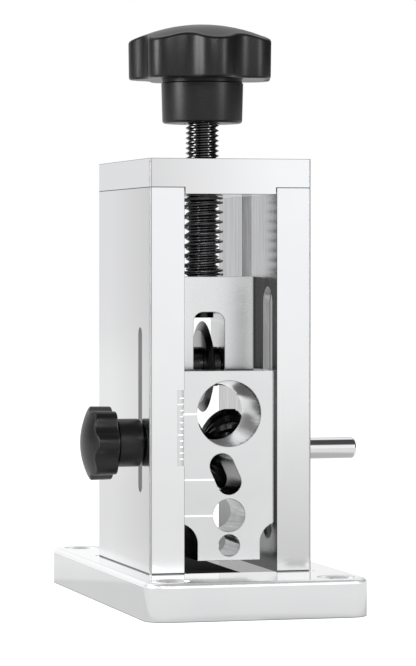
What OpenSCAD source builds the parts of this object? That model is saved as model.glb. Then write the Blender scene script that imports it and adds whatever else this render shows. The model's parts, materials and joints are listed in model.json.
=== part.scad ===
// Wire stripper driven by a hand drill, in millimetres.
// The origin is the centre of the base plate's underside. +Z is up, -Y is the front,
// where cable goes in, and the drive shaft sticks out along +X.

/* [Base plate] */
// Thickness of the base plate
base_t = 11; // [8:0.5:16]
// Overhang of the base to the left of the tower
base_left = 7.2; // [7:0.1:20]
// Overhang of the base to the right of the tower
base_right = 10; // [7:0.1:20]
// Overhang of the base in front of the tower
base_front = 27.2; // [20:0.1:40]
// Overhang of the base behind the tower
base_back = 36.8; // [20:0.1:50]
// Radius of the base's upright corners
base_corner_r = 6.35; // [3:0.05:10]
// Radius along the base's top edge
base_edge_r = 1.4; // [0.5:0.1:2]
// Diameter of the bench holes
bench_hole_d = 5.5; // [4:0.1:6]
// Diameter of the countersinks over the bench holes
bench_sink_d = 10.2; // [8:0.1:11]
// Distance of the bench holes from the base's left and right edges
bench_inset_x = 8.6; // [8:0.1:12]
// Distance of the bench holes from the base's front and back edges
bench_inset_y = 7.4; // [7:0.1:12]
// Depth of the pockets in the base that the columns stand in
seat_depth = 1.2; // [0.8:0.1:2]
// Radius of the cutter reliefs at the pockets' corners
seat_relief_r = 0.8; // [0.5:0.1:1]

/* [Tower] */
// Width of the tower, left to right
tower_w = 48.2; // [46:0.1:60]
// Depth of the tower, front to back
tower_d = 64.5; // [60:0.1:80]
// Height of the columns above the base
column_h = 111.1; // [108:0.1:130]
// Thickness of each column
column_t = 10.3; // [9:0.1:12]
// Thickness of the cap over the columns
cap_t = 8.35; // [7:0.05:12]
// How far the cap's tongue drops between the columns
tongue_drop = 1.95; // [1:0.05:3]
// Width of the groove for the blade block's tongues
rail_w = 10.2; // [8:0.1:12]
// Depth of the groove for the blade block's tongues
rail_depth = 3; // [2:0.1:4]
// Height of the lower end of that groove above the base
rail_foot = 44; // [42:0.5:45]
// Width of the groove for the guide block's keys
key_w = 10; // [7:0.1:11]
// Depth of the groove for the guide block's keys
key_depth = 2.2; // [1.5:0.1:3]
// Height of the lower end of the key groove above the base
key_foot = 8.8; // [7:0.1:9.2]
// Height of the upper end of the key groove above the base
key_top = 82.4; // [76:0.1:90]
// Width of the slot that the lock stud slides in
lock_slot_w = 4.2; // [4.2:0.1:6]
// Height of the slot's lower end above the base
lock_slot_foot = 23; // [18:0.5:26]
// Height of the slot's upper end above the base
lock_slot_top = 70.6; // [70.5:0.1:90]

/* [Scale] */
// Height of the scale's lower end above the base
scale_foot = 31; // [29:0.5:33]
// Height of the scale's upper end above the base
scale_top = 52.8; // [50:0.1:56]
// Width of the scale's recess at the column's inner edge
scale_w = 2.25; // [2:0.05:4]
// Depth of the scale's recess
scale_depth = 1.2; // [0.8:0.1:1.5]
// Distance from one tick to the next
tick_pitch = 1.75; // [1.5:0.05:2.5]
// Width of a tick
tick_w = 0.3; // [0.2:0.05:0.5]
// Depth of a tick
tick_depth = 0.2; // [0.1:0.05:0.4]
// How many ticks to one long tick
ticks_to_long = 5; // [2:1:10]

/* [Drive] */
// Diameter of the drive shaft outside the tower
shaft_d = 6.35; // [6:0.05:6.5]
// Diameter of the drive shaft inside the tower
journal_d = 7; // [6.8:0.1:7.5]
// Height of the drive shaft above the base
shaft_h = 33.7; // [33:0.1:35]
// How far the shaft sticks out of the right column
shaft_out = 23.1; // [18:0.1:40]
// Chamfer at the shaft's ends
shaft_chamfer = 0.6; // [0.3:0.1:1]
// Radius of the feed wheel over its teeth
wheel_r = 12.1; // [11.5:0.1:12.2]
// Space between the feed wheel and each column
wheel_side = 2.8; // [2.4:0.1:4]
// Radius of the wheel at the bottom of its groove
wheel_groove_r = 6.1; // [5.6:0.1:6.2]
// Width of the flat bottom of the wheel's groove
wheel_groove_foot_w = 0.6; // [0.4:0.1:2]
// Radius of the bulge of each side of the wheel's groove
wheel_flank_r = 11.5; // [8:0.5:20]
// Width of the toothed land on each side of the wheel's groove
wheel_land = 4.5; // [4:0.5:5.5]
// How many teeth the wheel has
wheel_teeth = 24; // [16:1:32]
// Depth of the wheel's teeth
tooth_depth = 0.9; // [0.5:0.1:1.5]
// Outer diameter of the shaft bushings
bushing_d = 9.5; // [9:0.1:11]
// How deep the left bushing sits in the left column
bushing_depth = 8; // [6:0.1:8.5]
// Diameter of the spacers beside the wheel
spacer_d = 10; // [9:0.1:12]
// Diameter of the wheel's set screw
wheel_screw_d = 3; // [2.5:0.1:4]
// Distance of the wheel's set screw from the wheel's end
wheel_screw_inset = 2.2; // [1.8:0.1:3]

/* [Blade block] */
// Thickness of the blade block, front to back
block_d = 15.9; // [14:0.1:17]
// Height of the blade block
block_h = 32.3; // [30:0.1:34]
// Height of the block's lower edge above the base
block_foot = 53; // [52.5:0.1:54]
// Width of the slot that the blade turns in
blade_slot_w = 9.5; // [8:0.1:11]
// Height of the blade slot in the block
blade_slot_h = 21.8; // [21:0.1:23]
// Radius of the blade slot's top corners
blade_slot_r = 3; // [1:0.1:4]
// Radius of the blade
blade_r = 13.5; // [12.5:0.1:14]
// Thickness of the blade
blade_t = 2.2; // [1.5:0.1:3]
// Width of the blade's ground bevel
blade_bevel = 2.8; // [1.5:0.1:4]
// Height of the blade's axle above the block's lower edge
axle_rise = 5.5; // [5:0.1:6]
// Diameter of the blade's axle
axle_d = 6; // [5:0.1:6.5]
// How far the axle's ends stand back from the block's sides
axle_inset = 2.15; // [1:0.05:3]
// Gap between the blade's edge and the guide block's back
blade_gap = 0.85; // [0.5:0.05:4]
// Diameter of the hubs beside the blade
hub_d = 11.8; // [9:0.1:12.5]
// Diameter of the axle's set screw
axle_screw_d = 4; // [3:0.1:4.5]

/* [Adjusting screw] */
// Outer diameter of the adjusting screw's thread
screw_d = 9.9; // [9.5:0.1:10.5]
// Pitch of the adjusting screw's thread
screw_pitch = 1.5; // [1.25:0.05:2]
// Depth of the adjusting screw's thread
screw_thread_depth = 0.92; // [0.6:0.02:1.2]
// Length of screw that shows between the cap and the knob
screw_show = 11.35; // [8:0.05:20]
// Length of screw held inside the knob
screw_hold = 20; // [12:0.5:22]
// Depth of the counterbore in the block that takes the screw's end
screw_seat_depth = 7; // [5:0.1:8]
// Thickness of the washer under the screw's shoulder
thrust_t = 0.6; // [0.4:0.1:1]
// Diameter of the screw's spigot through the block
spigot_d = 5; // [4.5:0.1:5.5]
// Diameter of the head that holds the spigot
retainer_d = 6.7; // [6:0.1:7.5]
// Thickness of the head that holds the spigot
retainer_t = 2; // [1.5:0.1:2.2]

/* [Spring] */
// Outer diameter of the spring
spring_d = 12.6; // [12.4:0.1:13]
// Diameter of the spring's wire
spring_wire_d = 0.8; // [0.7:0.05:0.9]
// Distance between turns where the spring is wound close
spring_close_pitch = 1.25; // [1.25:0.05:1.8]
// How many close turns the spring has at the top
spring_top_turns = 1; // [1:0.1:3]
// How many open turns the spring has
spring_open_turns = 7; // [5:0.5:8]
// How many close turns the spring has at the bottom
spring_foot_turns = 1; // [1:0.1:2]
// Direction that the spring's lower end starts in, in degrees from the right
spring_start = -15; // [-180:5:180]

/* [Adjusting knob] */
// Radius of the knob's head over its lobes
knob_r = 22; // [18:0.05:23]
// Radius of the knob's head between its lobes
knob_waist_r = 18.6; // [15.5:0.05:20]
// Radius of each lobe
knob_lobe_r = 6.2; // [5:0.1:6.5]
// How many lobes each knob has
knob_lobes = 7; // [5:1:8]
// Height of the straight side of the head
knob_side_h = 11.2; // [8:0.1:14]
// Rise of the head's domed top
knob_dome_h = 5.3; // [2:0.1:7]
// Diameter of the hub at its lower end
knob_hub_d = 23.8; // [20:0.1:26]
// Diameter of the hub under the head
knob_neck_d = 24.4; // [20:0.1:26]
// Height of the hub
knob_hub_h = 12.9; // [10:0.1:16]
// How far a lobe of the knob is turned to the left of the front, in degrees
knob_phase = 2.1; // [0:0.1:51]

/* [Guide block] */
// Thickness of the guide block, front to back
guide_d = 15.9; // [14:0.1:16]
// Height of the guide block
guide_h = 54.8; // [54:0.1:56]
// Height of the guide block's lower edge above the base
guide_foot = 3.4; // [3.2:0.1:4]
// How far the guide block's face is set behind the tower's front
guide_set = 2; // [1.5:0.1:2.2]
// Diameter of the largest guide hole at the front
large_hole_d = 19.05; // [16:0.05:19.5]
// Diameter of the largest guide hole at the back
large_hole_back_d = 16.5; // [14:0.1:19]
// Height of the largest hole's centre above the block's lower edge
large_hole_rise = 42.35; // [42:0.05:43.5]
// Diameter of the medium guide hole
medium_hole_d = 9.525; // [8:0.025:10]
// Height of the medium hole's centre above the block's lower edge
medium_hole_rise = 13; // [12.5:0.05:13.2]
// Diameter of the small guide hole
small_hole_d = 6.35; // [5:0.05:6.5]
// Height of the small hole's centre above the block's lower edge
small_hole_rise = 4.3; // [4:0.05:4.5]
// Width of the slanted slot for flat cable
flat_slot_w = 7.3; // [5:0.1:7.5]
// Height of the slanted slot's upper arc centre above the block's lower edge
flat_slot_top_rise = 27.25; // [27:0.05:27.5]
// Height of the slanted slot's lower arc centre above the block's lower edge
flat_slot_foot_rise = 22.6; // [22.4:0.05:23]
// How far the slanted slot's upper end leans to the left
flat_slot_lean = 2.1; // [1:0.1:3]
// Height of the slanted slot's index line above the block's lower edge
flat_index_rise = 23.4; // [22:0.1:26]
// Height of the keys' lower ends above the block's lower edge
key_low = 9; // [8.6:0.1:12]
// Length of the keys
key_len = 28.4; // [27:0.1:28.6]
// Width of the notches at the block's lower corners
notch_w = 4.25; // [3:0.05:5]
// Height of the straight part of the notches
notch_h = 4.9; // [4:0.1:6]
// Radius of the arc above each notch
notch_r = 6; // [5:0.1:6.5]
// Width of the index lines
index_w = 0.5; // [0.3:0.05:0.8]
// Depth of the index lines
index_depth = 0.2; // [0.1:0.05:0.4]

/* [Lock knob] */
// Height of the lock knob's axis above the base
lock_h = 37.3; // [36:0.1:39]
// How far the lock knob's axis is behind the middle of the guide block
lock_back = 1.5; // [0:0.1:2]
// Diameter of the lock stud
lock_stud_d = 4; // [3.5:0.1:4]
// Pitch of the lock stud's thread
lock_pitch = 0.7; // [0.5:0.05:0.8]
// Depth of the lock stud's thread
lock_thread_depth = 0.35; // [0.25:0.05:0.45]
// Length of stud held in the guide block
lock_stud_hold = 6; // [4:0.5:6.5]
// Length of stud outside the left column
lock_stud_out = 10.5; // [8:0.5:12]
// Thickness of the lock washer
lock_washer_t = 0.8; // [0.6:0.1:1.2]
// Diameter of the lock washer
lock_washer_d = 10; // [9:0.1:12]
// Radius of the lock knob's head over its lobes
lock_r = 10.85; // [9:0.05:12]
// Radius of the lock knob's head between its lobes
lock_waist_r = 9.3; // [8:0.05:11]
// Radius of each lobe of the lock knob
lock_lobe_r = 3.1; // [2.6:0.1:3.4]
// Height of the straight side of the lock knob's head
lock_side_h = 6; // [4:0.1:8]
// Rise of the lock knob's domed end
lock_dome_h = 3; // [1.5:0.1:4]
// Diameter of the lock knob's hub
lock_hub_d = 13.9; // [12:0.1:15]
// Length of the lock knob's hub
lock_hub_h = 8.2; // [6:0.1:11]
// Diameter of the brass insert in the lock knob
insert_d = 7; // [6:0.1:8]
// Length of the brass insert in the lock knob
insert_len = 9.5; // [7:0.5:11]
// How far a lobe of the lock knob is turned up from the front, in degrees
lock_phase = 3; // [0:1:51]

/* [Screws] */
// Diameter of the screws that hold the columns
bolt_d = 4.8; // [4:0.1:5]
// Diameter of those screws' heads
bolt_head_d = 7.9; // [7:0.1:8.2]
// Height of those screws' heads
bolt_head_h = 4.6; // [4:0.1:5]
// Width across the flats of the socket in those heads
bolt_socket_w = 4; // [3:0.1:4.5]
// Depth of the socket in those heads
bolt_socket_depth = 2.4; // [1.5:0.1:3]
// Length of the screws' shanks
bolt_len = 16; // [12:0.5:20]
// Distance of the screws from the tower's front and back
bolt_inset = 12; // [8:0.5:14]

/* [Clearances] */
// Radial clearance of a turning fit
turn_gap = 0.05; // [0.02:0.01:0.1]
// Gap between sliding faces
slide_gap = 0.15; // [0.1:0.05:0.3]
// Gap between pieces that are fixed together
fixed_gap = 0.02; // [0.01:0.01:0.05]
// Gap between faces that pass each other
pass_gap = 0.3; // [0.2:0.05:0.5]

/* [Hidden] */
$fn = 64;

// Overrun of every cut past the face it starts from
over = 1;
// Sides of a socket, and the share of its width across corners that its width across flats is
hex_sides = 6;
hex_share = cos(180 / hex_sides);

// Tower and base
base_w = tower_w + base_left + base_right;
base_l = tower_d + base_front + base_back;
tower_left = -base_w / 2 + base_left;
tower_right = tower_left + tower_w;
tower_front = -base_l / 2 + base_front;
tower_back = tower_front + tower_d;
inner_left = tower_left + column_t;
inner_right = tower_right - column_t;
inner_w = inner_right - inner_left;
feed_x = (tower_left + tower_right) / 2;
feed_y = tower_front + guide_set + guide_d + blade_gap + blade_r;
cap_z = base_t + column_h;
tongue_z = cap_z - tongue_drop;

// Scale, with the shares of its width that the long and the short ticks take
scale_ticks = floor((scale_top - scale_foot - tick_pitch) / tick_pitch);
long_tick_share = 0.8;
short_tick_share = 0.5;

// Drive
shaft_z = base_t + shaft_h;
shaft_r = shaft_d / 2;
journal_r = journal_d / 2;
shaft_bore_r = journal_r + turn_gap;
shaft_left = inner_left - bushing_depth + pass_gap;
shaft_shoulder = tower_right + pass_gap;
shaft_right = tower_right + shaft_out;
wheel_w = inner_w - 2 * wheel_side;
spacer_w = wheel_side - pass_gap - fixed_gap;

// Blade block, with its height settings measured at rest
block_y = feed_y - block_d / 2;
block_z = base_t + block_foot;
block_top = block_z + block_h;
block_w = inner_w - 2 * slide_gap;
slot_roof_z = block_z + blade_slot_h;
axle_z = block_z + axle_rise;
axle_r = axle_d / 2;
axle_left = feed_x - block_w / 2 + axle_inset;
axle_right = feed_x + block_w / 2 - axle_inset;
axle_screw_x = feed_x - (block_w + blade_slot_w) / 4;
hub_w = (blade_slot_w - blade_t) / 2 - slide_gap;

// Adjusting screw
screw_r = screw_d / 2;
seat_z = block_top - screw_seat_depth;
screw_foot = seat_z + thrust_t + fixed_gap;
knob_z = cap_z + cap_t + screw_show;
screw_top = knob_z + screw_hold;
spigot_r = spigot_d / 2;
retainer_seat = pass_gap;
retainer_hold = (screw_foot - slot_roof_z) / 2;
retainer_socket_share = 0.35;
retainer_top = slot_roof_z + retainer_seat - fixed_gap;

// Spring, between the tongue of the cap and the blade block
spring_r = (spring_d - spring_wire_d) / 2;
spring_low = block_top + spring_wire_d / 2 + turn_gap;
spring_high = tongue_z - spring_wire_d / 2 - turn_gap;
spring_turns = spring_foot_turns + spring_open_turns + spring_top_turns;
spring_close_h = (spring_foot_turns + spring_top_turns) * spring_close_pitch;
spring_open_pitch = (spring_high - spring_low - spring_close_h) / spring_open_turns;
rings_per_turn = 8;
wire_sides = 6;

// Flats to each arc of a knob's outline, to each end of the slanted slot, along each side of the
// wheel's groove and round a knob's dome
arc_steps = 8;
slot_end_steps = 32;
flank_steps = 6;
dome_steps = 128;

// Guide block
guide_w = inner_w - slide_gap - pass_gap;
guide_left = inner_left + slide_gap;
guide_y = tower_front + guide_set;
guide_z = base_t + guide_foot;
key_y = guide_y + guide_d / 2;
key_proud = key_depth - slide_gap;
key_block_w = key_w - 2 * slide_gap;

// Lock knob, its hub's end hollowed out for the washer
lock_y = key_y + lock_back;
lock_z = base_t + lock_h;
lock_face = tower_left - slide_gap;
lock_seat_depth = lock_washer_t + 2 * fixed_gap - slide_gap;

// A block with rounded upright corners, centred on the Z axis
module rounded_block(w, l, h, r) {
    linear_extrude(h) {
        square([w - 2 * r, l], center = true);
        square([w, l - 2 * r], center = true);
        for (x = [-1, 1], y = [-1, 1])
            translate([x * (w / 2 - r), y * (l / 2 - r)]) circle(r);
    }
}

// The same block with its top edge rounded as well
module soft_top_block(w, l, h, r, edge) {
    rounded_block(w, l, h - edge, r);
    rounded_block(w - 2 * edge, l - 2 * edge, h, r - edge);
    for (x = [-1, 1])
        translate([x * (w / 2 - edge), 0, h - edge])
            rotate([90, 0, 0]) cylinder(r = edge, h = l - 2 * r, center = true);
    for (y = [-1, 1])
        translate([0, y * (l / 2 - edge), h - edge])
            rotate([0, 90, 0]) cylinder(r = edge, h = w - 2 * r, center = true);
    for (x = [-1, 1], y = [-1, 1])
        translate([x * (w / 2 - r), y * (l / 2 - r), h - edge])
            rotate_extrude() translate([r - edge, 0]) circle(edge);
}

// A rod along +X from x0 to x1
module rod_x(r, x0, x1) {
    translate([x0, 0, 0]) rotate([0, 90, 0]) cylinder(r = r, h = x1 - x0);
}

// A slot with round ends, cut along X, between two heights
module upright_slot(w, low, high, x0, x1) {
    for (z = [low + w / 2, high - w / 2]) translate([0, 0, z]) rod_x(w / 2, x0, x1);
    translate([x0, -w / 2, low + w / 2]) cube([x1 - x0, w, high - low - w]);
}

// A round ring standing on the XY plane
module ring(outer_r, inner_r, h) {
    difference() {
        cylinder(r = outer_r, h = h);
        translate([0, 0, -over]) cylinder(r = inner_r, h = h + 2 * over);
    }
}

// A threaded rod standing on the XY plane, its thread drawn as grooves
module threaded_rod(r, depth, pitch, h) {
    turns = floor((h - pitch) / pitch);
    start = (h - turns * pitch) / 2;
    crests = [for (i = [0 : turns - 1], s = [0, 1])
        [s == 0 ? r : r - depth, start + (i + s / 2) * pitch]];
    rotate_extrude()
        polygon(concat([[0, 0], [r - depth, 0]], crests, [[r, h - start], [r - depth, h], [0, h]]));
}

// The cut of a hexagon socket standing on the XY plane
module hex_socket(w, h) {
    cylinder(d = w / hex_share, h = h, $fn = hex_sides);
}

// A socket head screw along +Z with its head's top at zero and its shank below
module socket_screw() {
    difference() {
        translate([0, 0, -bolt_head_h]) cylinder(d = bolt_head_d, h = bolt_head_h);
        translate([0, 0, -bolt_socket_depth]) hex_socket(bolt_socket_w, bolt_socket_depth + over);
    }
    translate([0, 0, -bolt_head_h - bolt_len]) cylinder(d = bolt_d, h = bolt_len);
}

// The hole for such a screw
module socket_screw_hole() {
    translate([0, 0, -bolt_head_h - fixed_gap])
        cylinder(d = bolt_head_d + 2 * turn_gap, h = bolt_head_h + over);
    translate([0, 0, -bolt_head_h - bolt_len - pass_gap])
        cylinder(d = bolt_d + 2 * turn_gap, h = bolt_len + bolt_head_h);
}

// Outline of a knob's head: lobes joined by hollow waists that run into them smoothly
function lobed_outline(n, tip_r, waist_r, lobe_r) =
    let (reach = tip_r - lobe_r,
         half = 180 / n,
         hollow_r = (reach * reach + waist_r * waist_r - 2 * reach * waist_r * cos(half) - lobe_r * lobe_r)
             / (2 * (lobe_r - waist_r + reach * cos(half))),
         hollow_at = (waist_r + hollow_r) * [cos(half), sin(half)],
         turn = atan2(hollow_at[1], hollow_at[0] - reach))
    [for (i = [0 : n - 1], s = [0 : 2 * arc_steps - 1])
        let (spin = i * 360 / n,
             share = (s % arc_steps) / arc_steps,
             p = s < arc_steps
                 ? [reach, 0] + lobe_r * [cos(turn * (2 * share - 1)), sin(turn * (2 * share - 1))]
                 : let (a = 180 + turn - 2 * (turn - half) * share)
                     hollow_at + hollow_r * [cos(a), sin(a)])
            [p[0] * cos(spin) - p[1] * sin(spin), p[0] * sin(spin) + p[1] * cos(spin)]];

// A knob's domed head standing on the XY plane
module knob_head(tip_r, waist_r, lobe_r, side_h, dome_h) {
    ball_r = (tip_r * tip_r + dome_h * dome_h) / (2 * dome_h);
    intersection() {
        linear_extrude(side_h + dome_h) polygon(lobed_outline(knob_lobes, tip_r, waist_r, lobe_r));
        translate([0, 0, side_h + dome_h - ball_r]) sphere(ball_r, $fn = dome_steps);
    }
}

// Points of one ring of wire round a centre line in the form of a coil
function coil_ring(r, wire_r, angle, z) = [for (k = [0 : wire_sides - 1])
    let (a = k * 360 / wire_sides, reach = r + wire_r * cos(a))
        [reach * cos(angle), reach * sin(angle), z + wire_r * sin(a)]];

// Height of the spring's centre line after a number of turns
function spring_z(turn) = spring_low
    + min(turn, spring_foot_turns) * spring_close_pitch
    + max(0, min(turn - spring_foot_turns, spring_open_turns)) * spring_open_pitch
    + max(0, turn - spring_foot_turns - spring_open_turns) * spring_close_pitch;

spring_rings = ceil(spring_turns * rings_per_turn);
spring_turn_at = [for (i = [0 : spring_rings]) i * spring_turns / spring_rings];
spring_line = [for (t = spring_turn_at) [spring_r * cos(t * 360), spring_r * sin(t * 360), spring_z(t)]];
spring_gap = min([for (i = [0 : spring_rings - rings_per_turn],
                       j = [i + rings_per_turn - 2 : min(spring_rings, i + rings_per_turn + 2)])
    norm(spring_line[i] - spring_line[j])]) - spring_wire_d;
echo(spring_least_gap_mm = spring_gap, spring_open_pitch_mm = spring_open_pitch);

// Bolt places on the columns, seen from above
bolt_at = [for (x = [tower_left + column_t / 2, tower_right - column_t / 2],
                y = [tower_front + bolt_inset, tower_back - bolt_inset]) [x, y]];

module base_plate() {
    color("gainsboro")
    difference() {
        soft_top_block(base_w, base_l, base_t, base_corner_r, base_edge_r);
        for (x = [-1, 1], y = [-1, 1])
            translate([x * (base_w / 2 - bench_inset_x), y * (base_l / 2 - bench_inset_y), 0]) {
                translate([0, 0, -over]) cylinder(d = bench_hole_d, h = base_t + 2 * over);
                sink = (bench_sink_d - bench_hole_d) / 2;
                translate([0, 0, base_t - sink])
                    cylinder(d1 = bench_hole_d, d2 = bench_sink_d, h = sink);
            }
        for (x0 = [tower_left, inner_right]) column_seat(x0);
        for (p = bolt_at) translate([p[0], p[1], pass_gap]) mirror([0, 0, 1]) socket_screw_hole();
    }
}

module column_seat(x0) {
    translate([x0 - fixed_gap, tower_front - fixed_gap, base_t - seat_depth])
        cube([column_t + 2 * fixed_gap, tower_d + 2 * fixed_gap, seat_depth + over]);
    for (x = [x0, x0 + column_t], y = [tower_front, tower_back])
        translate([x, y, base_t - seat_depth]) cylinder(r = seat_relief_r, h = seat_depth + over);
}

// A column without its side's own cuts; side is -1 for left and 1 for right
module plain_column(side) {
    x0 = side < 0 ? tower_left : inner_right;
    face = side < 0 ? inner_left : inner_right;
    rail_x0 = side < 0 ? face - rail_depth : face - over;
    key_x0 = side < 0 ? face - key_depth : face - over;
    difference() {
        translate([x0, tower_front, base_t - seat_depth + fixed_gap])
            cube([column_t, tower_d, column_h + seat_depth - 2 * fixed_gap]);
        translate([rail_x0, feed_y - rail_w / 2, base_t + rail_foot])
            cube([rail_depth + over, rail_w, column_h]);
        translate([0, key_y, base_t])
            upright_slot(key_w, key_foot, key_top, key_x0, key_x0 + key_depth + over);
        for (p = bolt_at) {
            translate([p[0], p[1], pass_gap]) mirror([0, 0, 1]) socket_screw_hole();
            translate([p[0], p[1], cap_z + cap_t]) socket_screw_hole();
        }
    }
}

module left_column() {
    color("gainsboro")
    difference() {
        plain_column(-1);
        translate([0, lock_y, base_t])
            upright_slot(lock_slot_w, lock_slot_foot, lock_slot_top, tower_left - over, inner_left + over);
        translate([0, feed_y, shaft_z])
            rod_x(bushing_d / 2 + fixed_gap, inner_left - bushing_depth, inner_left + over);
        translate([inner_left - scale_w, tower_front - over, base_t + scale_foot])
            cube([scale_w + over, scale_depth + over, scale_top - scale_foot]);
        for (i = [1 : scale_ticks]) {
            len = (i % ticks_to_long == 0 ? long_tick_share : short_tick_share) * scale_w;
            translate([inner_left - len, tower_front + scale_depth - over,
                       base_t + scale_foot + i * tick_pitch])
                cube([len + over, tick_depth + over, tick_w]);
        }
    }
}

module right_column() {
    color("gainsboro")
    difference() {
        plain_column(1);
        translate([0, feed_y, shaft_z])
            rod_x(bushing_d / 2 + fixed_gap, inner_right - over, tower_right + over);
    }
}

module top_cap() {
    color("gainsboro")
    difference() {
        union() {
            translate([tower_left, tower_front, cap_z]) cube([tower_w, tower_d, cap_t]);
            translate([inner_left + slide_gap, tower_front, tongue_z])
                cube([inner_w - 2 * slide_gap, tower_d, tongue_drop + over]);
        }
        translate([feed_x, feed_y, tongue_z - over])
            cylinder(r = screw_r + turn_gap, h = cap_t + tongue_drop + 2 * over);
        for (p = bolt_at) translate([p[0], p[1], cap_z + cap_t]) socket_screw_hole();
    }
}

module cap_screws() {
    color("dimgray")
    for (p = bolt_at) translate([p[0], p[1], cap_z + cap_t - fixed_gap]) socket_screw();
}

module base_screws() {
    color("dimgray")
    for (p = bolt_at) translate([p[0], p[1], pass_gap]) mirror([0, 0, 1]) socket_screw();
}

module left_bushing() {
    color("goldenrod")
    translate([inner_left - bushing_depth + fixed_gap, feed_y, shaft_z]) rotate([0, 90, 0])
        ring(bushing_d / 2, shaft_bore_r, bushing_depth - fixed_gap);
}

module right_bushing() {
    color("goldenrod")
    translate([inner_right, feed_y, shaft_z]) rotate([0, 90, 0])
        ring(bushing_d / 2, shaft_bore_r, column_t);
}

module drive_shaft() {
    inner_len = shaft_shoulder - shaft_left - shaft_chamfer;
    outer_len = shaft_right - shaft_shoulder - shaft_chamfer;
    color("silver")
    translate([shaft_left, feed_y, shaft_z]) rotate([0, 90, 0]) {
        cylinder(r1 = journal_r - shaft_chamfer, r2 = journal_r, h = shaft_chamfer);
        translate([0, 0, shaft_chamfer]) cylinder(r = journal_r, h = inner_len);
        translate([0, 0, shaft_chamfer]) cylinder(r = shaft_r, h = inner_len + outer_len);
        translate([0, 0, shaft_chamfer + inner_len + outer_len])
            cylinder(r1 = shaft_r, r2 = shaft_r - shaft_chamfer, h = shaft_chamfer);
    }
}

// Points of an arc that bulges to the right of the way from a to b
function bulged_line(a, b, r) =
    let (way = b - a, len = norm(way),
         centre = (a + b) / 2 + sqrt(r * r - len * len / 4) * [-way[1], way[0]] / len,
         start = atan2(a[1] - centre[1], a[0] - centre[0]),
         turn = 2 * asin(len / (2 * r)))
    [for (i = [0 : flank_steps])
        let (angle = start + i * turn / flank_steps) centre + r * [cos(angle), sin(angle)]];

module feed_wheel() {
    half = wheel_w / 2;
    mouth = half - wheel_land;
    flank = bulged_line([wheel_groove_r, wheel_groove_foot_w / 2], [wheel_r, mouth], wheel_flank_r);
    far_flank = [for (i = [0 : flank_steps]) [flank[flank_steps - i][0], -flank[flank_steps - i][1]]];
    tooth_shape = [for (i = [0 : wheel_teeth - 1], s = [0, 1])
        let (a = (i + s / 2) * 360 / wheel_teeth, r = s == 0 ? wheel_r : wheel_r - tooth_depth)
            r * [cos(a), sin(a)]];
    color("dimgray")
    translate([feed_x, feed_y, shaft_z]) rotate([0, 90, 0])
    difference() {
        intersection() {
            rotate_extrude() polygon(concat(
                [[0, -half], [wheel_r - tooth_depth, -half], [wheel_r, tooth_depth - half]],
                far_flank, flank,
                [[wheel_r, half - tooth_depth], [wheel_r - tooth_depth, half], [0, half]]));
            translate([0, 0, -half]) linear_extrude(wheel_w) polygon(tooth_shape);
        }
        translate([0, 0, -half - over]) cylinder(r = journal_r + fixed_gap, h = wheel_w + 2 * over);
        translate([0, 0, half - wheel_screw_inset]) rotate([0, 90, 0])
            cylinder(d = wheel_screw_d + 2 * fixed_gap, h = wheel_r + over);
    }
}

module wheel_set_screw() {
    color("dimgray")
    translate([feed_x + wheel_w / 2 - wheel_screw_inset, feed_y, shaft_z]) mirror([0, 0, 1])
        translate([0, 0, journal_r + fixed_gap]) difference() {
            len = wheel_r - tooth_depth - journal_r - pass_gap;
            socket = wheel_screw_d / 2;
            cylinder(d = wheel_screw_d, h = len);
            translate([0, 0, len - socket]) hex_socket(socket, socket + over);
        }
}

module wheel_spacers() {
    color("silver")
    for (x = [inner_left + pass_gap, inner_right - pass_gap - spacer_w])
        translate([x, feed_y, shaft_z]) rotate([0, 90, 0])
            ring(spacer_d / 2, journal_r + fixed_gap, spacer_w);
}

module blade_block() {
    tongue = inner_w + 2 * (rail_depth - slide_gap);
    color("gainsboro")
    difference() {
        union() {
            translate([feed_x - block_w / 2, block_y, block_z]) cube([block_w, block_d, block_h]);
            translate([feed_x - tongue / 2, feed_y - rail_w / 2 + slide_gap, block_z])
                cube([tongue, rail_w - 2 * slide_gap, block_h]);
        }
        blade_slot();
        translate([feed_x, feed_y, seat_z])
            cylinder(r = screw_r + turn_gap, h = screw_seat_depth + over);
        translate([feed_x, feed_y, slot_roof_z - over])
            cylinder(r = spigot_r + turn_gap, h = screw_seat_depth + block_h);
        translate([feed_x, feed_y, slot_roof_z - blade_slot_r])
            cylinder(r = retainer_d / 2 + pass_gap, h = blade_slot_r + retainer_seat);
        translate([0, feed_y, axle_z])
            rod_x(axle_r + fixed_gap, axle_left - fixed_gap, feed_x + block_w);
        translate([axle_screw_x, feed_y, axle_z]) rotate([-90, 0, 0])
            cylinder(d = axle_screw_d + 2 * fixed_gap, h = block_d);
    }
}

// The slot through the block that the blade turns in, open at the foot
module blade_slot() {
    half = blade_slot_w / 2;
    translate([feed_x, block_y - over, 0]) {
        for (x = [-1, 1])
            translate([x * (half - blade_slot_r), 0, slot_roof_z - blade_slot_r])
                rotate([-90, 0, 0]) cylinder(r = blade_slot_r, h = block_d + 2 * over);
        translate([-half + blade_slot_r, 0, block_z - over])
            cube([blade_slot_w - 2 * blade_slot_r, block_d + 2 * over, blade_slot_h + over]);
        translate([-half, 0, block_z - over])
            cube([blade_slot_w, block_d + 2 * over, blade_slot_h + over - blade_slot_r]);
    }
}

module blade_axle() {
    color("silver")
    translate([0, feed_y, axle_z]) rod_x(axle_r, axle_left, axle_right);
}

module axle_set_screw() {
    len = block_d / 2 - axle_r - pass_gap;
    socket = axle_screw_d / 2;
    color("dimgray")
    translate([axle_screw_x, feed_y + axle_r + fixed_gap, axle_z]) rotate([-90, 0, 0])
    difference() {
        cylinder(d = axle_screw_d, h = len);
        translate([0, 0, len - socket]) hex_socket(socket, socket + over);
    }
}

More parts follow.
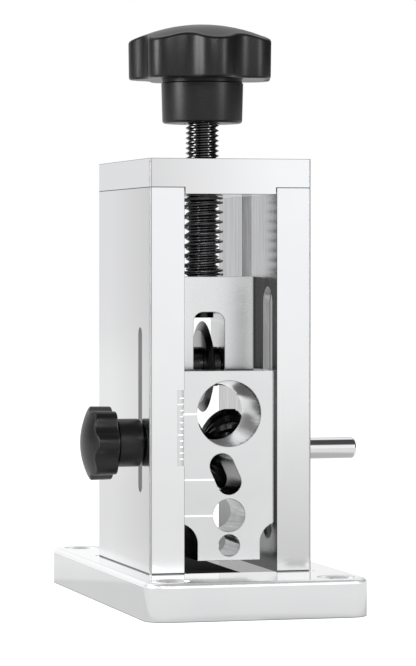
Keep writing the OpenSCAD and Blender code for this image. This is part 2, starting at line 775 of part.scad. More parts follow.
module blade_disc() {
    half = blade_t / 2;
    color("silver")
    translate([feed_x, feed_y, axle_z]) rotate([0, 90, 0])
        rotate_extrude() polygon([[axle_r + turn_gap, -half], [blade_r - blade_bevel, -half], [blade_r, 0],
            [blade_r - blade_bevel, half], [axle_r + turn_gap, half]]);
}

module blade_hubs() {
    color("dimgray")
    for (x = [-blade_t / 2 - fixed_gap - hub_w, blade_t / 2 + fixed_gap])
        translate([feed_x + x, feed_y, axle_z]) rotate([0, 90, 0])
            ring(hub_d / 2, axle_r + turn_gap, hub_w);
}

module adjusting_screw() {
    color("dimgray")
    translate([feed_x, feed_y, 0]) {
        translate([0, 0, screw_foot])
            threaded_rod(screw_r, screw_thread_depth, screw_pitch, screw_top - screw_foot);
        difference() {
            translate([0, 0, retainer_top + fixed_gap])
                cylinder(r = spigot_r, h = screw_foot - retainer_top);
            translate([0, 0, retainer_top])
                cylinder(r = spigot_r / 2 + fixed_gap, h = retainer_hold + fixed_gap);
        }
    }
}

module thrust_washer() {
    color("goldenrod")
    translate([feed_x, feed_y, seat_z + fixed_gap / 2])
        ring(screw_r - turn_gap, spigot_r + turn_gap, thrust_t);
}

module retainer_screw() {
    color("dimgray")
    translate([feed_x, feed_y, retainer_top]) {
        difference() {
            translate([0, 0, -retainer_t]) cylinder(d = retainer_d, h = retainer_t);
            translate([0, 0, -retainer_t - over])
                hex_socket(retainer_d * retainer_socket_share, retainer_t / 2 + over);
        }
        cylinder(r = spigot_r / 2, h = retainer_hold - fixed_gap);
    }
}

module adjusting_knob() {
    color("dimgray")
    translate([feed_x, feed_y, knob_z])
    difference() {
        union() {
            cylinder(d1 = knob_hub_d, d2 = knob_neck_d, h = knob_hub_h);
            translate([0, 0, knob_hub_h]) rotate([0, 0, -90 - knob_phase])
                knob_head(knob_r, knob_waist_r, knob_lobe_r, knob_side_h, knob_dome_h);
        }
        translate([0, 0, -over]) cylinder(r = screw_r + fixed_gap, h = screw_hold + over + fixed_gap);
    }
}

module feed_spring() {
    rings = [for (i = [0 : spring_rings])
        coil_ring(spring_r, spring_wire_d / 2, spring_turn_at[i] * 360, spring_line[i][2])];
    points = [for (r = rings, p = r) p];
    last = spring_rings * wire_sides;
    side_faces = [for (i = [0 : spring_rings - 1], k = [0 : wire_sides - 1], s = [0, 1])
        let (a = i * wire_sides + k, b = i * wire_sides + (k + 1) % wire_sides)
            s == 0 ? [a, b, b + wire_sides] : [a, b + wire_sides, a + wire_sides]];
    end_faces = [for (k = [1 : wire_sides - 2], s = [0, 1])
        s == 0 ? [0, k + 1, k] : [last, last + k, last + k + 1]];
    color("dimgray")
    translate([feed_x, feed_y, 0]) rotate([0, 0, spring_start]) polyhedron(points, concat(side_faces, end_faces));
}

module guide_block() {
    color("gainsboro")
    difference() {
        union() {
            translate([guide_left, guide_y, guide_z]) cube([guide_w, guide_d, guide_h]);
            translate([0, key_y, guide_z])
                upright_slot(key_block_w, key_low, key_low + key_len,
                             inner_left - key_proud, inner_right + key_proud);
        }
        guide_hole(large_hole_rise, large_hole_d, large_hole_back_d);
        guide_hole(medium_hole_rise, medium_hole_d, medium_hole_d);
        guide_hole(small_hole_rise, small_hole_d, small_hole_d);
        flat_slot();
        for (side = [0, 1]) guide_notch(side);
        index_line(large_hole_rise, feed_x - large_hole_d / 2);
        index_line(flat_index_rise, feed_x - (flat_slot_lean + flat_slot_w) / 2);
        index_line(medium_hole_rise, feed_x - medium_hole_d / 2);
        translate([guide_left, lock_y, lock_z])
            rod_x(lock_stud_d / 2 + fixed_gap, -key_depth - over, lock_stud_hold + fixed_gap);
    }
}

// A hole through the block that narrows evenly from the front to the back
module guide_hole(rise, front_d, back_d) {
    spread = (front_d - back_d) * over / guide_d;
    translate([feed_x, guide_y - over, guide_z + rise]) rotate([-90, 0, 0])
        cylinder(d1 = front_d + spread, d2 = back_d - spread, h = guide_d + 2 * over);
}

// Slanted slot, its lower arc under the holes' line and its upper arc leaning left
module flat_slot() {
    rise = flat_slot_top_rise - flat_slot_foot_rise;
    tilt = atan2(flat_slot_lean, rise);
    outline = [for (top = [0, 1], i = [0 : slot_end_steps])
        let (a = tilt + 180 * (top + i / slot_end_steps) + 180)
            [flat_slot_w / 2 * cos(a) - top * flat_slot_lean, flat_slot_w / 2 * sin(a) + top * rise]];
    translate([feed_x, guide_y + guide_d + over, guide_z + flat_slot_foot_rise]) rotate([90, 0, 0])
        linear_extrude(guide_d + 2 * over) polygon(outline);
}

// Notch at a lower corner: side 0 is left and 1 is right
module guide_notch(side) {
    x = side == 0 ? guide_left : guide_left + guide_w;
    dir = side == 0 ? 1 : -1;
    translate([x, guide_y - over, guide_z]) scale([dir, 1, 1]) {
        translate([notch_w - notch_r, 0, notch_h]) rotate([-90, 0, 0])
            cylinder(r = notch_r, h = guide_d + 2 * over);
        translate([-over, 0, -over]) cube([notch_w + over, guide_d + 2 * over, notch_h + over]);
    }
}

module index_line(rise, end_x) {
    translate([guide_left - over, guide_y - over, guide_z + rise - index_w / 2])
        cube([end_x - guide_left + 2 * over, index_depth + over, index_w]);
}

module lock_stud() {
    x1 = guide_left + lock_stud_hold;
    x0 = tower_left - lock_stud_out;
    color("silver")
    translate([x0, lock_y, lock_z]) rotate([0, 90, 0])
        threaded_rod(lock_stud_d / 2, lock_thread_depth, lock_pitch, x1 - x0);
}

module lock_washer() {
    color("dimgray")
    translate([tower_left - fixed_gap - lock_washer_t, lock_y, lock_z]) rotate([0, 90, 0])
        ring(lock_washer_d / 2, lock_stud_d / 2 + turn_gap, lock_washer_t);
}

// Turns a shape that stands on the XY plane to lie along -X from the end of the lock knob's hub
module on_lock_axis() {
    translate([lock_face, lock_y, lock_z]) rotate([0, -90, 0]) children();
}

module lock_knob() {
    color("dimgray")
    on_lock_axis() difference() {
        union() {
            cylinder(d = lock_hub_d, h = lock_hub_h);
            translate([0, 0, lock_hub_h]) rotate([0, 0, lock_phase - 90])
                knob_head(lock_r, lock_waist_r, lock_lobe_r, lock_side_h, lock_dome_h);
        }
        translate([0, 0, -over]) cylinder(r = lock_washer_d / 2 + pass_gap, h = lock_seat_depth + over);
        cylinder(r = insert_d / 2 + fixed_gap, h = lock_seat_depth + insert_len);
        cylinder(r = lock_stud_d / 2 + turn_gap, h = lock_stud_out + turn_gap);
    }
}

module lock_insert() {
    color("goldenrod")
    on_lock_axis() translate([0, 0, lock_seat_depth + fixed_gap])
        ring(insert_d / 2, lock_stud_d / 2 + turn_gap, insert_len - 2 * fixed_gap);
}

base_plate();
left_column();
right_column();
top_cap();
cap_screws();
base_screws();
left_bushing();
right_bushing();
drive_shaft();
feed_wheel();
wheel_set_screw();
wheel_spacers();
blade_block();
blade_axle();
axle_set_screw();
blade_disc();
blade_hubs();
adjusting_screw();
thrust_washer();
retainer_screw();
adjusting_knob();
feed_spring();
guide_block();
lock_stud();
lock_washer();
lock_knob();
lock_insert();
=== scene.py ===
import json
import math
import bpy
import bmesh
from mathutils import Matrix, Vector


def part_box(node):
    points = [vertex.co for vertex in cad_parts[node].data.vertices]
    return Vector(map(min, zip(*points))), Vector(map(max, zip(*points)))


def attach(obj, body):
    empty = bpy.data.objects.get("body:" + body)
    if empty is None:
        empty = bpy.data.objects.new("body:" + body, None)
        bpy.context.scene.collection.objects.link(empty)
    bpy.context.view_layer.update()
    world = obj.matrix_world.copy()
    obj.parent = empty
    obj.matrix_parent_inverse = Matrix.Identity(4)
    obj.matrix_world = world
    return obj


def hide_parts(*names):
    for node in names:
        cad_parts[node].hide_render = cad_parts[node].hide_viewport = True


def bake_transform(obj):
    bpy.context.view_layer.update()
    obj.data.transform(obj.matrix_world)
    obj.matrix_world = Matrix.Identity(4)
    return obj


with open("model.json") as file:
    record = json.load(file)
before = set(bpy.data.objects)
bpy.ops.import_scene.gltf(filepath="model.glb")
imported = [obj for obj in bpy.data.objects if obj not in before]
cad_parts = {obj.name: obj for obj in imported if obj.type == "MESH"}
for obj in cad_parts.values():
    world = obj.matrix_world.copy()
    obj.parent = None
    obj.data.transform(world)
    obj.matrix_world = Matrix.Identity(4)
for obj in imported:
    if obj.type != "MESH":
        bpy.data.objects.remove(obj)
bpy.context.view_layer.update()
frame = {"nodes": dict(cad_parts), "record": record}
mm = 0.001
turn = 2 * math.pi

print("stage: camera, floor and lights")

# the camera stands level and looks down by its shift alone, so that upright edges stay upright
cameraSetup = {"place": (-255.34, -961.17, 100.27), "turned": 14.97, "lens": 179.68, "shift": -0.1049,
               "near": 0.02, "far": 20}
lens = bpy.data.cameras.new("camera")
lens.lens = cameraSetup["lens"]
lens.shift_y = cameraSetup["shift"]
lens.clip_start, lens.clip_end = cameraSetup["near"], cameraSetup["far"]
camera = bpy.data.objects.new("camera", lens)
camera.location = Vector(cameraSetup["place"]) * mm
camera.rotation_euler = (math.radians(90), 0, -math.radians(cameraSetup["turned"]))
bpy.context.scene.collection.objects.link(camera)
bpy.context.scene.camera = camera
bpy.context.scene.view_settings.view_transform = "Standard"


def feed(tree, node, values):   # gives a node's inputs their numbers and colours, or the outputs that feed them
    for key, value in values.items():
        if isinstance(value, bpy.types.NodeSocket):
            tree.links.new(value, node.inputs[key])
        else:
            node.inputs[key].default_value = value


def addNode(tree, kind, values=None, **settings):
    made = tree.nodes.new("ShaderNode" + kind)
    for key, value in settings.items():
        setattr(made, key, value)
    feed(tree, made, values or {})
    return made


def reckon(tree, operation, *values, kind="Math"):   # one step of arithmetic, on numbers or on vectors
    made = addNode(tree, kind, dict(enumerate(values)), operation=operation)
    return made.outputs["Value" if kind == "Math" or operation == "LENGTH" else "Vector"]


def mapped(tree, source, low, high, fromLow=0.3, fromHigh=0.7):   # a value brought from one range into another
    return addNode(tree, "MapRange", {"Value": source, "From Min": fromLow, "From Max": fromHigh,
                                      "To Min": low, "To Max": high}).outputs["Result"]


def mixed(tree, share, first, second):   # two values, by the share of the second
    return addNode(tree, "Mix", {0: share, 2: first, 3: second}).outputs[0]


def blended(tree, share, first, second):   # two colours, likewise
    return addNode(tree, "Mix", {0: share, 6: first, 7: second}, data_type="RGBA").outputs[2]


def grey(tone):
    return (tone, tone, tone, 1)


def tinted(tree, source, dark, light):
    return blended(tree, mapped(tree, source, 0, 1), dark + (1,), light + (1,))


def toneRamp(tree, source, stops):   # a soft run of greys along a value between 0 and 1
    ramp = addNode(tree, "ValToRGB", {0: source})
    ramp.color_ramp.interpolation = "EASE"
    points = ramp.color_ramp.elements
    while len(points) < len(stops):
        points.new(0.5)
    for point, (place, tone) in zip(points, stops):
        point.position = place
        point.color = (tone, tone, tone * 1.01, 1)
    return ramp.outputs["Color"]


def spotParts(tree):   # the place on a piece, whole and as its X, Y and Z
    spot = addNode(tree, "TexCoord").outputs["Object"]
    return spot, addNode(tree, "SeparateXYZ", {0: spot}).outputs


def zoneMask(tree, spot, low, high):   # 1 inside a box given in millimetres, 0 outside
    middle = [(a + b) / 2 * mm for a, b in zip(low, high)]
    reach = [2 / ((b - a) * mm) for a, b in zip(low, high)]
    moved = reckon(tree, "SUBTRACT", spot, middle, kind="VectorMath")
    scaled = reckon(tree, "MULTIPLY", moved, reach, kind="VectorMath")
    parts = addNode(tree, "SeparateXYZ", {0: reckon(tree, "ABSOLUTE", scaled, kind="VectorMath")}).outputs
    widest = reckon(tree, "MAXIMUM", reckon(tree, "MAXIMUM", parts["X"], parts["Y"]), parts["Z"])
    return reckon(tree, "LESS_THAN", widest, 1.0)


def blankMaterial(name):
    material = bpy.data.materials.new(name)
    material.use_nodes = True
    return material, material.node_tree, material.node_tree.nodes["Principled BSDF"]


# surroundings: white to the camera, an even fill as light, and greys that only polished metal mirrors
studio = {"fill": 0.5, "domeLow": 0.42, "domeHigh": 0.66,
          # soft boxes round the horizon with dark gaps between them; 0 degrees is the right, and 90 the back
          "horizon": [(-180, 0.3), (-160, 0.2), (-146, 0.5), (-128, 0.1), (-112, 0.6), (-84, 0.93), (-60, 1.0),
                      (-42, 0.75), (-20, 0.14), (15, 0.07), (42, 0.1), (60, 0.35), (78, 0.78), (105, 0.77),
                      (126, 0.4), (146, 0.08), (164, 0.6)],
          # overhead, dark in front, which is 0, and pale towards the back, which is 1
          "ceiling": [(0, 0.4), (0.15, 0.07), (0.55, 0.06), (0.7, 0.98), (0.84, 0.9), (0.94, 0.2)]}

world = bpy.data.worlds.new("studio")
bpy.context.scene.world = world
world.use_nodes = True
tree = world.node_tree
seen = tree.nodes["Background"]
feed(tree, seen, {"Color": grey(1), "Strength": 1})
lighting = addNode(tree, "Background", {"Color": grey(1), "Strength": studio["fill"]})
looking = addNode(tree, "TexCoord").outputs["Generated"]
parts = addNode(tree, "SeparateXYZ", {0: looking}).outputs
bearing = reckon(tree, "MULTIPLY_ADD", reckon(tree, "ARCTAN2", parts["Y"], parts["X"]), 1 / turn, 0.5)
around = toneRamp(tree, bearing, [((degrees + 180) / 360, tone) for degrees, tone in studio["horizon"]])
ceiling = toneRamp(tree, reckon(tree, "MULTIPLY_ADD", parts["Y"], 0.5, 0.5), studio["ceiling"])
rise = addNode(tree, "MapRange", {"Value": parts["Z"], "From Min": studio["domeLow"], "From Max": studio["domeHigh"]},
               interpolation_type="SMOOTHSTEP").outputs["Result"]
mirrored = addNode(tree, "Background", {"Color": blended(tree, rise, around, ceiling), "Strength": 1.0})
rays = addNode(tree, "LightPath").outputs
lit = addNode(tree, "MixShader", {0: rays["Is Glossy Ray"], 1: lighting.outputs[0], 2: mirrored.outputs[0]})
whole = addNode(tree, "MixShader", {0: rays["Is Camera Ray"], 1: lit.outputs[0], 2: seen.outputs[0]})
feed(tree, tree.nodes["World Output"], {"Surface": whole.outputs[0]})

# floor: white paper that glows a little to the camera; metal sees a painted glow in its place, with painted shade near
# the object
floorLook = {"size": 6.0, "tone": 0.9, "rough": 0.9, "glow": 0.62, "glowStrength": 1.5, "drop": 0.05,
             "mirrored": [(0.0, 0.36), (0.06, 0.5), (0.085, 0.8), (0.15, 0.84), (0.22, 0.78), (0.5, 0.77),
                          (1.0, 0.86)],   # by metres from the middle
             "pale": 0.68, "paleEnd": 0.03}   # the left half is never darker than this
bpy.ops.mesh.primitive_plane_add(size=floorLook["size"], location=(0, 0, -floorLook["drop"] * mm))
floor = bpy.context.object
floor.name = "floor"
material, tree, shader = blankMaterial("paperFloor")
feed(tree, shader, {"Base Color": grey(floorLook["tone"]), "Roughness": floorLook["rough"], "Specular IOR Level": 0.0})
spot, parts = spotParts(tree)
away = reckon(tree, "LENGTH", spot, kind="VectorMath")
# painted reflection: to glossy rays the floor is this glowing grey, darker near the object as painted shade
pale = mapped(tree, parts["X"], floorLook["pale"], 0.0, 0.0, floorLook["paleEnd"])
shown = reckon(tree, "MAXIMUM", toneRamp(tree, away, floorLook["mirrored"]), pale)
glow = addNode(tree, "Emission", {"Color": grey(1), "Strength": floorLook["glowStrength"]})
paintedMirrorGlow = addNode(tree, "Emission", {"Color": shown, "Strength": 1.0})
rays = addNode(tree, "LightPath").outputs
lit = addNode(tree, "MixShader", {0: reckon(tree, "MULTIPLY", rays["Is Camera Ray"], floorLook["glow"]),
                                  1: shader.outputs[0], 2: glow.outputs[0]})
whole = addNode(tree, "MixShader", {0: rays["Is Glossy Ray"], 1: lit.outputs[0], 2: paintedMirrorGlow.outputs[0]})
feed(tree, tree.nodes["Material Output"], {"Surface": whole.outputs[0]})
floor.data.materials.append(material)

# lamps, in metres and watts: a softbox that metal doesn't mirror, and three strips that give the highlights
lamps = {"keyLamp": {"place": (-0.5, -0.75, 0.75), "target": (0, 0, 0.08), "size": (0.5, 0.5), "watts": 5.0},
         "leftStrip": {"place": (-0.97, -0.12, 0.3), "target": (0, 0, 0.12), "size": (0.36, 0.5), "watts": 6.0},
         "rightStrip": {"place": (0.65, -0.72, 0.3), "target": (0, 0, 0.12), "size": (0.2, 0.5), "watts": 2.2},
         "frontStrip": {"place": (-0.21, -0.84, 0.45), "target": (0, 0, 0.1), "size": (0.6, 0.1), "watts": 2.2}}
for name, look in lamps.items():
    data = bpy.data.lights.new(name, "AREA")
    data.shape = "RECTANGLE"
    data.size, data.size_y = look["size"]
    data.energy = look["watts"]
    lamp = bpy.data.objects.new(name, data)
    lamp.location = look["place"]
    lamp.rotation_euler = (Vector(look["target"]) - Vector(look["place"])).to_track_quat("-Z", "Y").to_euler()
    lamp.visible_glossy = name != "keyLamp"
    bpy.context.scene.collection.objects.link(lamp)

print("stage: shared surface effects")


def newGroup(name, inputs, outputs):
    group = bpy.data.node_groups.new(name, "ShaderNodeTree")
    for label, kind, value in inputs:
        group.interface.new_socket(name=label, in_out="INPUT", socket_type=kind).default_value = value
    for label in outputs:
        group.interface.new_socket(name=label, in_out="OUTPUT", socket_type="NodeSocketFloat")
    return group, group.nodes.new("NodeGroupInput").outputs, group.nodes.new("NodeGroupOutput")


# drawn or milled grain: noise pulled out along one direction, fine and in bands about a third as dense
grainGroup, given, sent = newGroup(
    "pulledGrain", [("Stretch", "NodeSocketVector", (1, 1, 1)), ("Density", "NodeSocketFloat", 800.0)],
    ["Tone", "Height"])
spot = addNode(grainGroup, "TexCoord").outputs["Object"]
pulled = reckon(grainGroup, "MULTIPLY", spot, given["Stretch"], kind="VectorMath")
bands = reckon(grainGroup, "MULTIPLY", given["Density"], 0.27)
fine = addNode(grainGroup, "TexNoise", {"Vector": pulled, "Scale": given["Density"], "Detail": 4.0,
                                        "Roughness": 0.65}).outputs["Fac"]
broad = addNode(grainGroup, "TexNoise", {"Vector": pulled, "Scale": bands, "Detail": 2.0,
                                         "Roughness": 0.5}).outputs["Fac"]
feed(grainGroup, sent, {"Tone": mixed(grainGroup, 0.4, fine, broad), "Height": fine})

# handling: soft clouds where the surface was wiped, and a few hair scratches
handlingGroup, given, sent = newGroup(
    "handling", [("Size", "NodeSocketFloat", 30.0), ("Scratches", "NodeSocketFloat", 0.5)], ["Tone", "Scratch"])
spot = addNode(handlingGroup, "TexCoord").outputs["Object"]
clouds = addNode(handlingGroup, "TexNoise", {"Vector": spot, "Scale": given["Size"], "Detail": 3.0,
                                             "Roughness": 0.55, "Distortion": 0.6}).outputs["Fac"]
slanted = addNode(handlingGroup, "Mapping", {"Vector": spot, "Rotation": (0.5, 0.7, 0.4), "Scale": (1.0, 0.04, 1.0)})
hairs = addNode(handlingGroup, "TexNoise", {"Vector": slanted.outputs[0], "Scale": 1400.0, "Detail": 1.0})
thin = mapped(handlingGroup, hairs.outputs["Fac"], 0, 1, 0.72, 0.78)
feed(handlingGroup, sent, {"Tone": clouds, "Scratch": reckon(handlingGroup, "MULTIPLY", thin, given["Scratches"])})

# turning marks: rings of noise about the Z axis of the vector that comes in
turnedGroup, given, sent = newGroup(
    "turningMarks", [("Vector", "NodeSocketVector", (0, 0, 0)), ("Density", "NodeSocketFloat", 3000.0)],
    ["Tone", "Height"])
flat = reckon(turnedGroup, "MULTIPLY", given["Vector"], (1, 1, 0), kind="VectorMath")
reach = reckon(turnedGroup, "LENGTH", flat, kind="VectorMath")
height = addNode(turnedGroup, "SeparateXYZ", {0: given["Vector"]}).outputs["Z"]
marks = addNode(turnedGroup, "TexNoise", {"W": reckon(turnedGroup, "ADD", reach, height), "Scale": given["Density"],
                                          "Detail": 3.0, "Roughness": 0.7}, noise_dimensions="1D").outputs["Fac"]
feed(turnedGroup, sent, {"Tone": marks, "Height": marks})


def handling(tree, look):
    return addNode(tree, "Group", {"Size": look["clouds"], "Scratches": look["scratches"]},
                   node_tree=handlingGroup).outputs


# milled and drawn plates: grain and handling all over, and over them the zones of painted shade, seams, painted glow
# and painted reflection tones
plateLook = {"dark": (0.86, 0.865, 0.872), "light": (0.905, 0.91, 0.917), "rough": (0.13, 0.2),
             "pull": (1, 1, 0.04), "density": 2200.0, "clouds": 38.0, "scratches": 0.35, "cloudShare": 0.7,
             "bump": 0.04, "bumpHeight": 0.00002, "scuff": 0.15, "deep": (0.06, 0.06, 0.061, 1),
             "seamTone": (0.1, 0.1, 0.101, 1), "sweeps": [], "seam": []}


def plateFinish(name, **changes):
    look = {**plateLook, **changes}
    material, tree, shader = blankMaterial(name)
    grain = addNode(tree, "Group", {"Stretch": look["pull"], "Density": look["density"]},
                    node_tree=grainGroup).outputs
    handled = handling(tree, look)
    both = mixed(tree, look["cloudShare"], grain["Tone"], handled["Tone"])
    colour = tinted(tree, both, look["dark"], look["light"])
    rough = mapped(tree, both, *look["rough"])
    spot, parts = spotParts(tree)
    # painted shade: each sweep darkens part of a face towards its start, as the light falls off there
    for low, high, axis, start, end, tone in look["sweeps"]:   # a face that darkens towards start
        reach = mapped(tree, parts[axis], 1, 0, start * mm, end * mm)
        share = reckon(tree, "MULTIPLY", zoneMask(tree, spot, low, high), reach)
        colour = blended(tree, share, colour, grey(tone))
    if "inner" in look:   # a zone of painted shade, darker than the metal, such as the faces inside the tower
        inner = look["inner"]
        inside = zoneMask(tree, spot, inner["low"], inner["high"])
        dull = tinted(tree, grain["Tone"], inner["dark"], inner["light"])
        if "fade" in inner:   # painted shade, darker towards the base, where less light comes in
            low, high = inner["fade"]
            dull = blended(tree, mapped(tree, parts["Z"], 1, 0, low * mm, high * mm), dull, look["deep"])
        colour = blended(tree, inside, colour, dull)
        rough = mixed(tree, inside, rough, mapped(tree, grain["Tone"], *inner["rough"]))
    for low, high in look["seam"]:   # dark joint lines where this piece meets its neighbour, and painted shade on the base top
        meeting = zoneMask(tree, spot, low, high)
        colour = blended(tree, meeting, colour, look["seamTone"])
        if "stained" in look:   # painted shade that is dull at a low angle too
            rough = mixed(tree, meeting, rough, look["stained"])
            feed(tree, shader, {"Specular Tint": mapped(tree, meeting, 1, 0, 0, 1)})
    if "mirrored" in look:   # painted reflection: polished neighbours show this face in a fixed grey, darker than it looks straight on
        shown = addNode(tree, "LightPath").outputs["Is Glossy Ray"]
        if "inner" in look:   # only inside the painted shade zone, which also gets a faint painted glow in reflections
            shown = reckon(tree, "MULTIPLY", shown, inside)
            feed(tree, shader, {"Emission Color": shown, "Emission Strength": look["mirrored"]})
        colour = blended(tree, shown, colour, grey(look["mirrored"]))
    if "tint" in look:   # how bright the surface is seen at a low angle
        feed(tree, shader, {"Specular Tint": grey(look["tint"])})
    if "bright" in look:   # painted light: a faint glow of its own outside the painted shade zone, where the metal mirrors the dark
        outer = mapped(tree, inside, 1, 0, 0, 1) if "inner" in look else grey(1)
        feed(tree, shader, {"Emission Color": outer, "Emission Strength": look["bright"]})
    height = reckon(tree, "SUBTRACT", grain["Height"], handled["Scratch"])
    bump = addNode(tree, "Bump", {"Strength": look["bump"], "Distance": look["bumpHeight"], "Height": height})
    feed(tree, shader, {"Base Color": colour, "Metallic": 1.0, "Normal": bump.outputs[0],
                        "Roughness": reckon(tree, "MULTIPLY_ADD", handled["Scratch"], look["scuff"], rough)})
    return material


# shade zones, seams and shade sweeps are boxes in millimetres, low corner and high corner; the zones, the sweeps and
# the base top's seam are painted shade
# painted shade on the tower's inner walls: darker than outside, and darker still towards the base
wallShadeZone = {"low": (-18.6, -36.9, 11), "high": (15.8, 27.3, 121), "dark": (0.42, 0.42, 0.43),
            "light": (0.78, 0.785, 0.79), "rough": (0.12, 0.24), "fade": (14, 48)}
# painted shade: the left faces darker towards the front, the right column's front darker towards its foot
columnShadeSweeps = [((-26, -36.6, 9), (-25.2, 27.5, 131), "Y", -36.6, 12, 0.76),
                ((12, -37.5, 9), (23, -36.5, 131), "Z", 8, 62, 0.7)]
columnFinish = plateFinish("drawnAluminium", dark=(0.92, 0.925, 0.93), light=(0.955, 0.96, 0.965), inner=wallShadeZone,
                           mirrored=0.3, sweeps=columnShadeSweeps, seam=[((-40, -40, 10), (40, 40, 11.35))])
# painted shade: the cap's front darker towards the left
capFinish = plateFinish("capAluminium", pull=(0.04, 1, 1), dark=(0.94, 0.945, 0.95), light=(0.97, 0.975, 0.98),
                        sweeps=[((-25, -37.5, 120), (23, -36.5, 131), "X", -25, 12, 0.74)],
                        seam=[((-40, -40, 120), (-15.1, 40, 121.15)), ((12.5, -40, 120), (40, 40, 121.15))])
# painted shade on the base between the columns, where the tower's inside is dark
passageShadeZone = {"low": (-15.1, -36.9, 10.9), "high": (12.3, 27.3, 12)}
baseFinish = plateFinish("baseAluminium", pull=(0.05, 1, 1), rough=(0.06, 0.12),
                         inner={**passageShadeZone, "dark": (0.02, 0.02, 0.0205), "light": (0.2, 0.2, 0.205),
                                "rough": (0.12, 0.25)})
# painted shade on the base top: dark between the columns and darker still under the guide block's left half, with a
# faint painted glow elsewhere
topFinish = plateFinish("baseTop", pull=(0.05, 1, 1), rough=(0.05, 0.1), bright=0.22, stained=0.5,
                        inner={**passageShadeZone, "dark": (0.03, 0.03, 0.031), "light": (0.3, 0.3, 0.31),
                               "rough": (0.1, 0.2)},
                        seam=[((-15.1, -36.9, 10.9), (1.6, 27.3, 11.5))])
# painted highlight: the base's rounded rim glows faintly
rimGlowFinish = plateFinish("softEdgeGlow", rough=(0.3, 0.4), bright=0.3)
# painted reflection tones: the block, the guide and the columns' inner walls show a fixed grey to polished neighbours
blockFinish = plateFinish("blockAluminium", pull=(0.05, 1, 1), dark=(0.8, 0.805, 0.81), light=(0.84, 0.845, 0.85),
                          rough=(0.22, 0.3), mirrored=0.12)
guideFinish = plateFinish("guideAluminium", pull=(0.05, 1, 1), dark=(0.82, 0.825, 0.83), light=(0.87, 0.875, 0.88),
                          mirrored=0.2)
boredFinish = plateFinish("boredHole", pull=(1, 0.06, 1), dark=(0.2, 0.2, 0.202), light=(0.95, 0.955, 0.96),
                          rough=(0.1, 0.24), cloudShare=0.3, tint=0.75)
# painted light: the large bore glows faintly to stay bright
boreGlowFinish = plateFinish("polishedBoreGlow", pull=(1, 0.06, 1), rough=(0.12, 0.2), bright=0.1)
# painted shade: the slanted slot's walls are dark inside
slantedShadeFinish = plateFinish("slantedSlot", pull=(1, 1, 0.06), dark=(0.02, 0.02, 0.021), light=(0.24, 0.24, 0.245),
                            rough=(0.16, 0.3), cloudShare=0.4)
# painted shade: the notches in the guide block are near black inside
notchShadeFinish = plateFinish("notchShade", pull=(1, 1, 0.06), dark=(0.005, 0.005, 0.005), light=(0.16, 0.16, 0.162),
                          rough=(0.16, 0.3), cloudShare=0.4, tint=0.2)
# painted shade and light: the lock slot's walls are a mid grey that also glows faintly
slotShadeAndGlowFinish = plateFinish("slotShadeAndGlow", dark=(0.4, 0.4, 0.41), light=(0.6, 0.6, 0.61), bright=0.11)
# painted shade: a darker band along the scale recess's edge beside the guide block
scaleFinish = plateFinish("scaleRecess", dark=(0.74, 0.745, 0.75), light=(0.86, 0.86, 0.865), density=900.0,
                          cloudShare=0.2, inner={"low": (-15.75, -36, 41.9), "high": (-15.1, -35.7, 63.9),
                                                 "dark": (0.55, 0.55, 0.56), "light": (0.66, 0.66, 0.67),
                                                 "rough": (0.2, 0.3)})
# painted highlight: the engraved lines, ticks and the scale's side wall are white and glow faintly
engravedGlowFinish = plateFinish("engravedLine", dark=(0.97, 0.97, 0.97), light=(1.0, 1.0, 1.0), rough=(0.3, 0.4),
                             pull=(1, 1, 1), bump=0.05, bright=0.25)
plainEdge = {"rough": (0.38, 0.45), "pull": (1, 1, 1), "bump": 0.0, "scratches": 0.0}
# painted dark reflection: broken edges are near black and eased edges grey, standing in for the dark that the metal
# mirrors there
edgeFinish = plateFinish("brokenEdgeDarkReflection", dark=(0.06, 0.06, 0.061), light=(0.1, 0.1, 0.102), **plainEdge)
greyEdgeReflection = plateFinish("easedEdgeGreyReflection", dark=(0.34, 0.34, 0.345), light=(0.46, 0.46, 0.465), **plainEdge)


def middle(node):   # middle of a CAD node's box, in millimetres
    low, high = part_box(node)
    return tuple((low + high) / (2 * mm))


# turned metal: marks about an axis through the point "at", along Z until "lay" turns it
drive = middle("feed_wheel")
hub = middle("blade_disc")
screwAxis = middle("adjusting_screw")
lockAxis = middle("lock_stud")
steelLook = {"at": drive, "lay": (0, math.radians(-90), 0), "density": 5000.0, "clouds": 60.0, "scratches": 0.4,
             "cloudShare": 0.35, "bump": 0.03, "bumpHeight": 0.00002, "dark": (0.84, 0.84, 0.85),
             "light": (0.93, 0.93, 0.94), "rough": (0.04, 0.09)}


def roundFinish(name, **changes):
    look = {**steelLook, **changes}
    material, tree, shader = blankMaterial(name)
    spot = addNode(tree, "TexCoord").outputs["Object"]
    moved = addNode(tree, "Mapping", {"Vector": spot, "Location": tuple(-mm * v for v in look["at"])})
    laid = addNode(tree, "Mapping", {"Vector": moved.outputs[0], "Rotation": look["lay"]})
    marks = addNode(tree, "Group", {"Vector": laid.outputs[0], "Density": look["density"]},
                    node_tree=turnedGroup).outputs
    both = mixed(tree, look["cloudShare"], marks["Tone"], handling(tree, look)["Tone"])
    bump = addNode(tree, "Bump", {"Strength": look["bump"], "Distance": look["bumpHeight"], "Height": marks["Height"]})
    feed(tree, shader, {"Base Color": tinted(tree, both, look["dark"], look["light"]), "Metallic": 1.0,
                        "Roughness": mapped(tree, both, *look["rough"]), "Normal": bump.outputs[0]})
    return material


shaftFinish = roundFinish("groundShaft")
bladeFinish = roundFinish("groundBlade", at=hub, density=9000.0, dark=(0.26, 0.26, 0.265), light=(0.5, 0.5, 0.51),
                          rough=(0.14, 0.24), bump=0.1)
